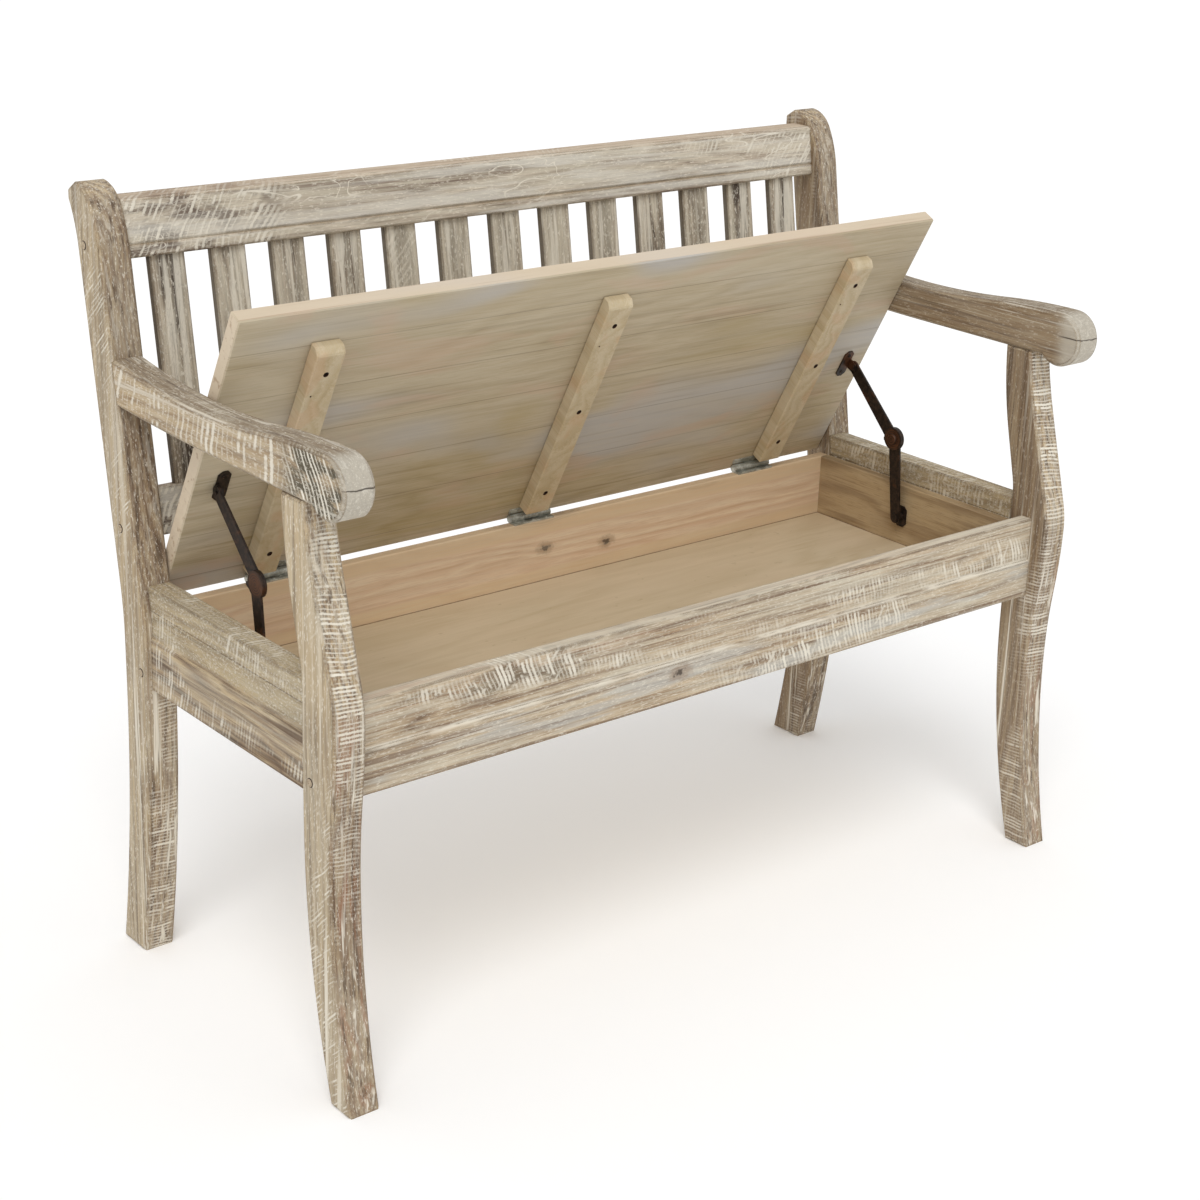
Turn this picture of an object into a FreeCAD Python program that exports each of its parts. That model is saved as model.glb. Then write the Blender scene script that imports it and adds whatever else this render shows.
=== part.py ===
import FreeCAD, Part
import Sketcher
import math
import os
import re
from FreeCAD import Vector

# Storage settle bench, after a photograph.
# A slatted back and two scrolled arms stand on four sabre-curved posts. Below the seat is a boarded
# box, closed by a lid that turns on three butt hinges and is held open by two folding metal stays.
# X runs along the bench, -Y is the front, Z is up, all in millimetres. The origin is on the ground,
# half way between the posts and half way between toe and post top. The model is drawn as the
# photograph shows it, with the lid standing open.

doc = FreeCAD.newDocument("SettleBench")

# Driving sizes
SIZES = {
    # the whole bench
    "bench_width": 1160,
    "post_thickness": 40,
    "post_bevel": 2.5,
    "edge_ease": 1.5,
    # rear posts: a sabre foot, an upright stretch, the leaning back and a curled top
    "rear_post_depth": 52,
    "rear_foot_kick": 33,
    "rear_curve_top": 355,
    "bend_height": 445,
    "bend_radius": 400,
    "back_lean": 9.5,
    "curl_above_crest": 10,
    "curl_radius": 160,
    "curl_turn": 20,
    "crown_radius": 42,
    "crown_drop": 10,
    # front posts: a sabre foot, a knee at the seat and a neck that leans back to the arm
    "front_post_back": -187,
    "front_post_depth": 54,
    "front_foot_depth": 38,
    "front_foot_kick": 34,
    "front_curve_top": 280,
    "knee_height": 455,
    "knee_bulge": 10,
    "knee_radius": 127,
    "knee_turn": 16,
    "neck_height": 610,
    "neck_relief": 8,
    "nape_radius": 124,
    "nape_turn": 14,
    "nape_height": 580,
    "nape_relief": 12,
    # seat frame
    "apron_length": 337,
    "apron_thickness": 30,
    "apron_height": 128,
    "apron_band": 67,
    "seat_rail_bottom": 361,
    "front_rail_height": 109,
    "front_rail_thickness": 19,
    "front_rail_band": 52,
    "front_rail_ahead": 39,
    "band_step": 3,
    # box below the seat
    "box_board": 13,
    "back_board_thickness": 16,
    "back_board_inset": 10,
    "floor_thickness": 8,
    "floor_lift": 4,
    "groove_depth": 6,
    "groove_play": 0.3,
    # backrest
    "crest_above_seat": 495,
    "crest_height": 67,
    "crest_rise": 5,
    "crest_thickness": 34,
    "crest_inset": 11,
    "bead_height": 15,
    "bead_groove": 2,
    "back_opening": 265,
    "lower_rail_height": 56,
    "lower_rail_thickness": 22,
    "slat_count": 13,
    "slat_end_gap": 31,
    "slat_width": 45.5,
    "slat_thickness": 11,
    "slat_inset": 7,
    "tenon_length": 8,
    "tenon_play": 0.2,
    # arms
    "arm_width": 40,
    "arm_above_seat": 331,
    "arm_rear_rise": 6,
    "arm_level": 240,
    "arm_swell_radius": 1020,
    "arm_swell_turn": 6.7,
    "arm_dip_radius": 1190,
    "nose_radius": 35,
    "nose_ahead": 49,
    "nose_lift": 25,
    "arm_bevel": 3.5,
    # lid
    "lid_overhang": 12.5,
    "lid_thickness": 20,
    "lid_side_gap": 1.5,
    "lid_rest_gap": 0.3,
    "lid_past_hinge": 5,
    "lid_open_angle": 63,
    "batten_width": 38,
    "batten_thickness": 18,
    "batten_foot": 15,
    "batten_front_gap": 45,
    "batten_end_gap": 121.5,
    "batten_bevel": 7,
    # hinges
    "hinge_inset": 12.5,
    "hinge_end_gap": 141.5,
    "hinge_length": 65,
    "hinge_seat": 5.8,
    "knuckle_radius": 5.5,
    "hinge_pin_radius": 2.5,
    "leaf_thickness": 2,
    "leaf_width": 12,
    "joint_play": 0.3,
    "pivot_play": 0.08,
    # folding lid stays
    "stay_steel": 3,
    "stay_boss": 14,
    "lower_arm_length": 113,
    "upper_arm_length": 120,
    "foot_pivot_ahead": 177.5,
    "foot_pivot_below": 50.5,
    "lid_pivot_reach": 166,
    "lid_pivot_drop": 10,
    "stay_end_radius": 8,
    "stay_strap_radius": 10,
    "stay_disc_radius": 16,
    "stop_nib": 4,
    "stay_rivet_radius": 2.5,
    "stay_head_radius": 6,
    "stay_head_height": 1.6,
    "knuckle_head_radius": 8,
    "lid_ear_radius": 7,
    "stay_plate_thickness": 2,
    "lid_plate_length": 44,
    "lid_plate_width": 17,
    "foot_plate_length": 30,
    "foot_plate_width": 20,
    "plate_corner": 5,
    "foot_boss_radius": 6,
}

# Sizes that follow from the driving ones
DERIVED = {
    "half_width": "bench_width / 2",
    "inner_half": "bench_width / 2 - post_thickness",
    "inner_span": "bench_width - 2 * post_thickness",
    "rear_post_front": "front_post_back + apron_length",
    "front_rail_face": "front_post_back - front_rail_ahead",
    "front_rail_back": "front_post_back - front_rail_ahead + front_rail_thickness",
    "front_rail_top": "seat_rail_bottom + front_rail_height",
    "back_board_front": "front_post_back + apron_length + back_board_inset",
    "box_top": "seat_rail_bottom + front_rail_height + lid_rest_gap - 2 * hinge_seat",
    "box_height": "front_rail_height + lid_rest_gap - 2 * hinge_seat",
    "box_half": "bench_width / 2 - post_thickness - box_board",
    "hinge_y": "front_post_back + apron_length + back_board_inset + hinge_inset",
    "hinge_z": "seat_rail_bottom + front_rail_height + lid_rest_gap - hinge_seat",
    "lid_half": "bench_width / 2 - post_thickness - lid_side_gap",
    "lid_depth": "apron_length + back_board_inset + hinge_inset + lid_past_hinge + front_rail_ahead"
                 " + lid_overhang",
    "batten_length": "lid_depth - lid_past_hinge - batten_foot - batten_front_gap",
    "batten_offset": "lid_half - batten_end_gap",
    "hinge_offset": "lid_half - hinge_end_gap",
    "slat_pitch": "(inner_span - 2 * slat_end_gap - slat_width) / (slat_count - 1)",
    "stay_stand": "box_half - stay_boss",
    "foot_pivot_y": "hinge_y - foot_pivot_ahead",
    "foot_pivot_z": "hinge_z - foot_pivot_below",
    "arm_underside": "seat_rail_bottom + arm_above_seat",
    "crest_bottom": "seat_rail_bottom + crest_above_seat",
    "curl_start": "crest_bottom + curl_above_crest",
    "crest_front": "front_post_back + apron_length + crest_inset"
                   " + tan(back_lean * 1deg) * (crest_bottom - bend_height)",
}


def expression(text):
    """Rewrite a formula in plain aliases as one that reads the sheet."""
    return re.sub(r"\b([a-z]+(?:_[a-z]+)+)\b", r"Sizes.\1", text)


sheet = doc.addObject("Spreadsheet::Sheet", "Sizes")
for row, (alias, value) in enumerate(SIZES.items(), start=1):
    sheet.set(f"A{row}", alias)
    sheet.set(f"B{row}", str(value))
    sheet.setAlias(f"B{row}", alias)
for row, (alias, formula) in enumerate(DERIVED.items(), start=len(SIZES) + 1):
    sheet.set(f"A{row}", alias)
    sheet.set(f"B{row}", "=" + formula)
    sheet.setAlias(f"B{row}", alias)
doc.recompute()


def size(alias):
    """The value of one cell of the sheet."""
    return float(sheet.get(alias))


# Building blocks
def point(y, z):
    """A point of a side outline, where the sketch's axes are Y and Z."""
    return Vector(y, z, 0)


def sketch_on(body, role, name):
    """An empty sketch on one of the body's own origin planes."""
    plane = next(item for item in body.Origin.OriginFeatures if item.Role == role)
    sketch = body.newObject("Sketcher::SketchObject", body.Name + "_" + name)
    sketch.AttachmentSupport = [(plane, "")]
    sketch.MapMode = "FlatFace"
    return sketch


def rectangle(sketch, wide, high, left="0", low="0"):
    """A rectangle whose two sides and corner are formulas in the sheet's aliases."""
    corners = [Vector(0, 0, 0), Vector(9, 0, 0), Vector(9, 9, 0), Vector(0, 9, 0)]
    for start, end in zip(corners, corners[1:] + corners[:1]):
        sketch.addGeometry(Part.LineSegment(start, end), False)
    for side in range(4):
        sketch.addConstraint(Sketcher.Constraint("Coincident", side, 2, (side + 1) % 4, 1))
    for side, kind in enumerate(("Horizontal", "Vertical", "Horizontal", "Vertical")):
        sketch.addConstraint(Sketcher.Constraint(kind, side))
    for kind, name, formula, ends in (
        ("DistanceX", "wide", wide, (0, 1, 0, 2)),
        ("DistanceY", "high", high, (1, 1, 1, 2)),
        ("DistanceX", "left", left, (-1, 1, 0, 1)),
        ("DistanceY", "low", low, (-1, 1, 0, 1)),
    ):
        index = sketch.addConstraint(Sketcher.Constraint(kind, *ends, 5))
        sketch.renameConstraint(index, name)
        sketch.setExpression("Constraints." + name, expression(formula))


def circle(sketch, radius, across="0", up="0"):
    """A circle whose radius and centre are formulas in the sheet's aliases."""
    sketch.addGeometry(Part.Circle(Vector(1, 1, 0), Vector(0, 0, 1), 5), False)
    for kind, name, formula, ends in (
        ("Radius", "radius", radius, (0, 5)),
        ("DistanceX", "across", across, (-1, 1, 0, 3, 1)),
        ("DistanceY", "up", up, (-1, 1, 0, 3, 1)),
    ):
        index = sketch.addConstraint(Sketcher.Constraint(kind, *ends))
        sketch.renameConstraint(index, name)
        sketch.setExpression("Constraints." + name, expression(formula))


def trace(sketch, curves):
    """Put a closed chain of curves in the sketch."""
    for curve in curves:
        sketch.addGeometry(curve, False)


def polygon(points):
    """Straight sides through the points, closed."""
    return [Part.LineSegment(a, b) for a, b in zip(points, points[1:] + points[:1])]


def sweep_arc(start, heading, radius, turn):
    """An arc that leaves start at a heading from upright and turns, towards +Y where turn is above 0."""
    first, last = math.radians(heading), math.radians(heading + turn)
    reach = math.copysign(radius, turn)
    centre = start + Vector(math.cos(first), -math.sin(first), 0) * reach

    def at(angle):
        return centre + Vector(-math.cos(angle), math.sin(angle), 0) * reach

    return Part.Arc(start, at((first + last) / 2), at(last)), at(last)


def arc_to(start, heading, end):
    """The arc that leaves start at a heading from upright and comes to end."""
    chord = end - start
    half_turn = math.degrees(math.atan2(chord.x, chord.y)) - heading
    half_turn = (half_turn + 180) % 360 - 180
    radius = chord.Length / (2 * math.sin(math.radians(abs(half_turn))))
    return sweep_arc(start, heading, radius, 2 * half_turn)[0]


UP, BACK, DOWN = 0, 90, 180


def new_body(label):
    body = doc.addObject("PartDesign::Body", label)
    body.Label = label
    return body


def pad(body, sketch, length, reverse=False):
    feature = body.newObject("PartDesign::Pad", sketch.Name + "_pad")
    feature.Profile = sketch
    feature.setExpression("Length", expression(length))
    feature.Reversed = reverse
    sketch.Visibility = False
    return feature


def pocket(body, sketch, length, reverse=False):
    doc.recompute()
    before = body.Shape.Volume
    feature = body.newObject("PartDesign::Pocket", sketch.Name + "_pocket")
    feature.Profile = sketch
    feature.setExpression("Length", expression(length))
    feature.Reversed = reverse
    doc.recompute()
    if body.Shape.Volume >= before:
        raise RuntimeError("nothing was cut by " + feature.Name)
    return feature


def bevel_edges(body, length, edges=None):
    """Bevel a body's edges: all of them, or those that the test names."""
    doc.recompute()
    base = body.Tip
    feature = body.newObject("PartDesign::Chamfer", body.Name + "_bevel")
    if edges is None:
        feature.Base = (base, ["Edge1"])
        feature.UseAllEdges = True
    else:
        names = [f"Edge{n}" for n, edge in enumerate(base.Shape.Edges, start=1) if edges(edge)]
        feature.Base = (base, names)
    feature.setExpression("Size", expression(length))
    return feature


def seat(item, x="0", y="0", z="0", turn=0):
    """Put an object in its place; turn tips its top backwards, in degrees about the X axis."""
    item.Placement = FreeCAD.Placement(Vector(), FreeCAD.Rotation(Vector(-1, 0, 0), turn))
    for axis, formula in zip("xyz", (x, f"{y} - depth_centre", z)):
        item.setExpression("Placement.Base." + axis, expression(formula))


def plank(label, wide, deep, high):
    """A board with eased edges, its corner at the body's origin."""
    body = new_body(label)
    sketch = sketch_on(body, "XY_Plane", "plan")
    rectangle(sketch, wide, deep)
    pad(body, sketch, high)
    bevel_edges(body, "edge_ease")
    return body


def cut(label, base, tools):
    """What is left of base when the tools are taken out of it."""
    result = doc.addObject("Part::Cut", label + "_trimmed")
    result.Base = base
    result.Tool = tools
    base.Label = label + "_blank"
    result.Label = label
    return result


SIDES = {"left": -1, "right": 1}
NODES = []


# Rear post outline, front face first
def lean_y(height):
    """Y of the rear post's leaning front face at a height."""
    rise = height - size("bend_height")
    return size("rear_post_front") + rise * math.tan(math.radians(size("back_lean")))


def back_face(shift):
    """The curves of one face from the ground to where the top curls back, and their two ends."""
    front = size("rear_post_front") + shift
    lean = size("back_lean")
    blend = size("bend_radius") * math.tan(math.radians(lean) / 2)
    foot = point(front + size("rear_foot_kick"), 0)
    shin = point(front, size("rear_curve_top"))
    waist = point(front, size("bend_height") - blend)
    bend, above_bend = sweep_arc(waist, 0, size("bend_radius"), lean)
    curl = point(lean_y(size("curl_start")) + shift, size("curl_start"))
    curl_arc, curl_end = sweep_arc(curl, lean, size("curl_radius"), size("curl_turn"))
    curves = [arc_to(shin, DOWN, foot), Part.LineSegment(shin, waist), bend]
    curves += [Part.LineSegment(above_bend, curl), curl_arc]
    return curves, foot, curl_end


front_curves, front_foot, front_curl = back_face(0)
rear_curves, rear_foot, rear_curl = back_face(size("rear_post_depth"))
curl_heading = size("back_lean") + size("curl_turn")
crown, crown_top = sweep_arc(front_curl, curl_heading, size("crown_radius"), 90 - curl_heading)
crown_back = point(rear_curl.x, crown_top.y - size("crown_drop"))
REAR_POST = front_curves + [crown, Part.LineSegment(crown_top, crown_back)]
REAR_POST += [Part.LineSegment(crown_back, rear_curl)] + rear_curves
REAR_POST += [Part.LineSegment(front_foot, rear_foot)]

# The origin lies half way between the toes and the rear of the post tops
toe = size("front_post_back") - size("front_post_depth") - size("front_foot_kick")
last_row = len(SIZES) + len(DERIVED) + 1
sheet.set(f"A{last_row}", "depth_centre")
sheet.set(f"B{last_row}", str((toe + crown_back.x) / 2))
sheet.setAlias(f"B{last_row}", "depth_centre")
doc.recompute()

# Front post outline: the front face with its knee, the flat top, the rear face
post_top = size("arm_underside")


def neck(start, radius, turn, height, relief):
    """A face's way up from the knee: an arc back, a straight stretch, an arc that eases its lean."""
    knee, above = sweep_arc(start, UP, radius, turn)
    lean, last = math.radians(turn), math.radians(turn - relief)
    straight_top = above + point(math.tan(lean), 1) * (height - above.y)
    easing_radius = (post_top - height) / (math.sin(lean) - math.sin(last))
    easing, top = sweep_arc(straight_top, turn, easing_radius, -relief)
    return [knee, Part.LineSegment(above, straight_top), easing], top


shin_front = size("front_post_back") - size("front_post_depth")
toe_point = point(toe, 0)
heel_point = point(toe + size("front_foot_depth"), 0)
shin_point = point(shin_front, size("front_curve_top"))
knee_point = point(shin_front - size("knee_bulge"), size("knee_height"))
swell_point = (shin_point + knee_point) * 0.5
calf_point = point(size("front_post_back"), size("front_curve_top") + size("front_post_depth"))
apron_point = point(size("front_post_back"), size("seat_rail_bottom") + size("apron_height"))
throat, brow_point = neck(
    knee_point, size("knee_radius"), size("knee_turn"), size("neck_height"), size("neck_relief"))
nape, nape_point = neck(
    apron_point, size("nape_radius"), size("nape_turn"), size("nape_height"), size("nape_relief"))
FRONT_POST = [arc_to(shin_point, DOWN, toe_point), arc_to(shin_point, UP, swell_point)]
FRONT_POST += [arc_to(knee_point, DOWN, swell_point)] + throat
FRONT_POST += [Part.LineSegment(brow_point, nape_point)] + nape
FRONT_POST += [Part.LineSegment(apron_point, calf_point), arc_to(calf_point, DOWN, heel_point)]
FRONT_POST += [Part.LineSegment(heel_point, toe_point)]

# Arm outline: the top swells, dips to a waist and rises to the post; the round nose hangs below it
nose = point(size("front_post_back") - size("nose_ahead"), post_top + size("nose_lift"))
nose_top = nose + point(0, size("nose_radius"))
nose_front = nose - point(size("nose_radius"), 0)
nose_reach = math.sqrt(size("nose_radius") ** 2 - size("nose_lift") ** 2)
nose_end = point(nose.x + nose_reach, post_top)
swell, swell_end = sweep_arc(nose_top, BACK, size("arm_swell_radius"), size("arm_swell_turn"))
arm_rear = lean_y(post_top) + size("post_thickness") / 2
dip_heading = BACK + size("arm_swell_turn")
dip_share = (arm_rear - swell_end.x) / size("arm_dip_radius")
rear_heading = math.degrees(math.acos(dip_share + math.cos(math.radians(dip_heading))))
dip, arm_rear_high = sweep_arc(
    swell_end, dip_heading, size("arm_dip_radius"), rear_heading - dip_heading)
arm_rear_low = point(arm_rear, post_top + size("arm_rear_rise"))
arm_level = point(nose.x + size("arm_level"), post_top)
ARM = [
    swell,
    dip,
    Part.LineSegment(arm_rear_high, arm_rear_low),
    arc_to(arm_level, BACK, arm_rear_low),
    Part.LineSegment(arm_level, nose_end),
    Part.Arc(nose_end, nose_front, nose_top),
]


def on_a_side(edge):
    """Whether an edge belongs to one of the two sawn outlines."""
    return edge.BoundBox.XLength < 0.001


def side_piece(label, outline, thickness, hand, bevel):
    """A piece sawn to a side outline, drawn on its outer face and as thick as its stock."""
    body = new_body(label)
    sketch = sketch_on(body, "YZ_Plane", "outline")
    trace(sketch, outline)
    pad(body, sketch, thickness, reverse=hand > 0)
    bevel_edges(body, bevel, on_a_side)
    return body


def put(item, x, y, z, axis=None):
    """Place an object by formulas; axis is where its own Z axis then points."""
    if axis:
        item.Placement = FreeCAD.Placement(Vector(), FreeCAD.Rotation(Vector(0, 0, 1), axis))
    for letter, formula in zip("xyz", (x, y, z)):
        item.setExpression("Placement.Base." + letter, expression(formula))


def cylinder(name, radius, height, x, y, z, axis=Vector(1, 0, 0)):
    """A round bar from formulas: its radius, its length, its start and its direction."""
    bar = doc.addObject("Part::Cylinder", name)
    bar.setExpression("Radius", expression(radius))
    bar.setExpression("Height", expression(height))
    put(bar, x, y, z, axis)
    return bar


def box(name, wide, deep, high, x, y, z):
    item = doc.addObject("Part::Box", name)
    for key, formula in (("Length", wide), ("Width", deep), ("Height", high)):
        item.setExpression(key, expression(formula))
    put(item, x, y, z)
    return item


def fused(label, members):
    """Several solids welded or riveted to one piece."""
    result = doc.addObject("Part::MultiFuse", label)
    result.Label = label
    result.Shapes = members
    return result


posts = {}
for side, hand in SIDES.items():
    outer = f"{hand} * half_width"
    rear = side_piece("rear_post_" + side, REAR_POST, "post_thickness", hand, "post_bevel")
    front = side_piece("front_post_" + side, FRONT_POST, "post_thickness", hand, "post_bevel")
    arm = side_piece("arm_blank_" + side, ARM, "arm_width", hand, "arm_bevel")
    for piece in (rear, front, arm):
        seat(piece, outer)
    posts[side] = rear
    NODES += [rear, front, cut("arm_" + side, arm, rear)]


# Side aprons: a plain upper band and a thicker lower band with a bevelled ledge, trimmed to the posts
def apron_section(hand):
    """The apron's section seen from the front, its outer upper face on the sketch's upright axis."""
    step, band = size("band_step"), size("apron_band")
    thick, high, ease = size("apron_thickness"), size("apron_height"), size("edge_ease")
    corners = [(ease - step, 0), (-step, ease), (-step, band - step), (0, band)]
    corners += [(0, high - ease), (ease, high), (thick - ease, high), (thick, high - ease), (thick, 0)]
    return polygon([Vector(-hand * x, z, 0) for x, z in corners])


for side, hand in SIDES.items():
    blank = new_body("apron_blank_" + side)
    sketch = sketch_on(blank, "XZ_Plane", "section")
    trace(sketch, apron_section(hand))
    pad(blank, sketch, "apron_length + post_thickness / 2")
    outer_face = f"{hand} * (inner_half + apron_thickness)"
    seat(blank, outer_face, "rear_post_front + post_thickness / 2", "seat_rail_bottom")
    NODES.append(cut("side_apron_" + side, blank, posts[side]))


# Front rail, back board and box sides, each grooved for the floor
def grooved_board(label, section, plane, length, reverse=False):
    body = new_body(label)
    sketch = sketch_on(body, plane, "section")
    trace(sketch, polygon(section))
    pad(body, sketch, length, reverse)
    return body


def groove(face, inward):
    """Four corners of the floor's groove in a face, going up; inward is the way into the wood."""
    low = size("floor_lift")
    high = low + size("floor_thickness") + size("groove_play")
    deep = face + inward * size("groove_depth")
    return [(face, low), (deep, low), (deep, high), (face, high)]


ease = size("edge_ease")
rail_high, rail_thick = size("front_rail_height"), size("front_rail_thickness")
rail_band, step = size("front_rail_band"), size("band_step")
rail_section = [(rail_thick, 0), (ease - step, 0), (-step, ease), (-step, rail_band - step), (0, rail_band)]
rail_section += [(0, rail_high - ease), (ease, rail_high), (rail_thick - ease, rail_high)]
rail_section += [(rail_thick, rail_high - ease)] + groove(rail_thick, -1)[::-1]
front_rail = grooved_board("front_rail", [point(*p) for p in rail_section], "YZ_Plane", "inner_span")
seat(front_rail, "-inner_half", "front_rail_face", "seat_rail_bottom")
NODES.append(front_rail)

box_high, back_thick = size("box_height"), size("back_board_thickness")
back_section = [(back_thick, 0), (back_thick, box_high - ease), (back_thick - ease, box_high)]
back_section += [(ease, box_high), (0, box_high - ease)] + groove(0, 1)[::-1] + [(0, 0)]
back_board = grooved_board("back_board", [point(*p) for p in back_section], "YZ_Plane", "inner_span")
seat(back_board, "-inner_half", "back_board_front", "seat_rail_bottom")
NODES.append(back_board)

for side, hand in SIDES.items():
    board = size("box_board")
    side_section = [(board, 0), (board, box_high), (ease, box_high), (0, box_high - ease)]
    side_section += groove(0, 1)[::-1] + [(0, 0)]
    box_side = grooved_board("box_side_" + side, [point(hand * x, z) for x, z in side_section],
                             "XZ_Plane", "back_board_front - front_rail_back")
    seat(box_side, f"{hand} * box_half", "back_board_front", "seat_rail_bottom")
    NODES.append(box_side)

floor_reach = "(groove_depth - groove_play)"
box_floor = plank("box_floor", f"2 * box_half + 2 * {floor_reach}",
                  f"back_board_front - front_rail_back + 2 * {floor_reach}", "floor_thickness")
seat(box_floor, f"-box_half - {floor_reach}", f"front_rail_back - {floor_reach}",
     "seat_rail_bottom + floor_lift")
NODES.append(box_floor)

# Backrest: everything here leans with the posts, about the crest rail's lower front edge
LEAN = size("back_lean")
SLAT_FRONT = "slat_inset"
FIRST_SLAT = "-(slat_count - 1) / 2 * slat_pitch - slat_width / 2"


def leaning(item, x, behind, above):
    """Seat an object in the backrest: behind the crest's front plane and above its lower edge."""
    tilt = f"{LEAN} * 1deg"
    seat(item, x, f"crest_front + ({behind}) * cos({tilt}) + ({above}) * sin({tilt})",
         f"crest_bottom - ({behind}) * sin({tilt}) + ({above}) * cos({tilt})", LEAN)


def mortises(body, front, upwards):
    """One mortise for each slat in the edge that lies on the body's XY plane."""
    sketch = sketch_on(body, "XY_Plane", "mortise")
    rectangle(sketch, "slat_width + 2 * tenon_play", "slat_thickness + 2 * tenon_play",
              f"inner_half + {FIRST_SLAT} - tenon_play", f"{front} - tenon_play")
    first = pocket(body, sketch, "tenon_length + tenon_play", reverse=upwards)
    row = body.newObject("PartDesign::LinearPattern", body.Name + "_mortises")
    row.Originals = [first]
    row.Direction = (sketch, ["H_Axis"])
    row.setExpression("Length", expression("(slat_count - 1) * slat_pitch"))
    row.Occurrences = int(size("slat_count"))
    body.Tip = row


crest_high, crest_thick = size("crest_height"), size("crest_thickness")
bead, bite = size("bead_height"), size("bead_groove")
crest_section = [(ease, 0), (0, ease), (0, bead - bite), (bite, bead), (0, bead + bite)]
crest_section += [(0, crest_high - 2 * ease), (2 * ease, crest_high)]
crest_section += [(crest_thick - 2 * ease, crest_high + size("crest_rise"))]
crest_section += [(crest_thick, crest_high + size("crest_rise") - 2 * ease), (crest_thick, ease)]
crest_section += [(crest_thick - ease, 0)]
crest = grooved_board("crest_rail", [point(*p) for p in crest_section], "YZ_Plane", "inner_span")
mortises(crest, SLAT_FRONT, True)
leaning(crest, "-inner_half", "0", "0")
NODES.append(crest)

low_high, low_thick = size("lower_rail_height"), size("lower_rail_thickness")
low_section = [(0, -ease), (ease, 0), (low_thick - ease, 0), (low_thick, -ease)]
low_section += [(low_thick, ease - low_high), (low_thick - ease, -low_high), (ease, -low_high)]
low_section += [(0, ease - low_high)]
lower_rail = grooved_board("lower_back_rail", [point(*p) for p in low_section], "YZ_Plane", "inner_span")
mortises(lower_rail, "(lower_rail_thickness - slat_thickness) / 2", False)
leaning(lower_rail, "-inner_half", "slat_inset - (lower_rail_thickness - slat_thickness) / 2", "-back_opening")
NODES.append(lower_rail)

for number in range(int(size("slat_count"))):
    slat = plank(f"back_slat_{number + 1:02d}", "slat_width", "slat_thickness",
                 "back_opening + 2 * tenon_length")
    leaning(slat, f"{FIRST_SLAT} + {number} * slat_pitch", SLAT_FRONT, "-back_opening - tenon_length")
    NODES.append(slat)

# Lid: drawn shut about the hinge pin's axis, then turned open
OPEN = size("lid_open_angle")
UPRIGHT = Vector(0, 0, 1)


def on_lid(item, x="0", y="0", z="0"):
    """Put an object that is drawn shut, from the pin's axis, on the open lid."""
    swing = f"{OPEN} * 1deg"
    seat(item, x, f"hinge_y + ({y}) * cos({swing}) + ({z}) * sin({swing})",
         f"hinge_z - ({y}) * sin({swing}) + ({z}) * cos({swing})", OPEN)


BATTENS = {"left": "-batten_offset", "middle": "0", "right": "batten_offset"}
for place, centre in BATTENS.items():
    batten = new_body("lid_batten_" + place)
    sketch = sketch_on(batten, "YZ_Plane", "side")
    long, thick, bevel = size("batten_length"), size("batten_thickness"), size("batten_bevel")
    trace(sketch, polygon([point(0, 0), point(0, -thick), point(bevel - long, -thick),
                           point(-long, bevel - thick), point(-long, 0)]))
    pad(batten, sketch, "batten_width")
    bevel_edges(batten, "edge_ease")
    on_lid(batten, f"{centre} - batten_width / 2", "-batten_foot", "hinge_seat")
    NODES.append(batten)

# Hinges: three butt hinges. The box leaf has the two outer knuckles and holds the pin, and the lid leaf
# turns on the pin between them.
KNUCKLES = 3
HINGES = {"left": "-hinge_offset", "middle": "0", "right": "hinge_offset"}


def hinge_leaf(label, centre, upper):
    """A leaf with its share of the knuckles, drawn about the pin's axis, and its pin or bore."""
    face = "hinge_seat - leaf_thickness" if upper else "-hinge_seat"
    left_end = f"{centre} - hinge_length / 2"
    solids = [box(label + "_plate", "hinge_length", "leaf_width - hinge_seat", "leaf_thickness",
                  left_end, "-leaf_width", face)]
    for number in range(KNUCKLES):
        if (number % 2 == 1) != upper:
            continue
        start = f"{left_end} + {number} * hinge_length / {KNUCKLES} + joint_play / 2"
        long = f"hinge_length / {KNUCKLES} - joint_play"
        solids.append(box(f"{label}_strap_{number}", long, "hinge_seat + joint_play",
                          "leaf_thickness", start, "-hinge_seat - joint_play", face))
        solids.append(cylinder(f"{label}_knuckle_{number}", "knuckle_radius", long, start, "0", "0"))
    pin_radius = "hinge_pin_radius + pivot_play" if upper else "hinge_pin_radius"
    pin = cylinder(label + "_pin", pin_radius, f"hinge_length - hinge_length / {KNUCKLES}",
                   f"{left_end} + hinge_length / {KNUCKLES} / 2", "0", "0")
    if upper:
        return cut(label, fused(label + "_solid", solids), pin)
    return fused(label, solids + [pin])


for place, centre in HINGES.items():
    box_leaf = hinge_leaf("hinge_box_leaf_" + place, centre, False)
    seat(box_leaf, "0", "hinge_y", "hinge_z")
    lid_leaf = hinge_leaf("hinge_lid_leaf_" + place, centre, True)
    on_lid(lid_leaf)
    NODES += [box_leaf, lid_leaf]

# Folding stays. Each has a lid plate with an ear, two flat arms side by side and a foot plate on the
# box side. The arms meet at a big round knuckle that folds forward into the box as the lid comes down.


def turned(y, z, degrees):
    """A side-view point turned about the hinge pin, its top tipping backwards."""
    angle = math.radians(degrees)
    return (y * math.cos(angle) + z * math.sin(angle), -y * math.sin(angle) + z * math.cos(angle))


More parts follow.
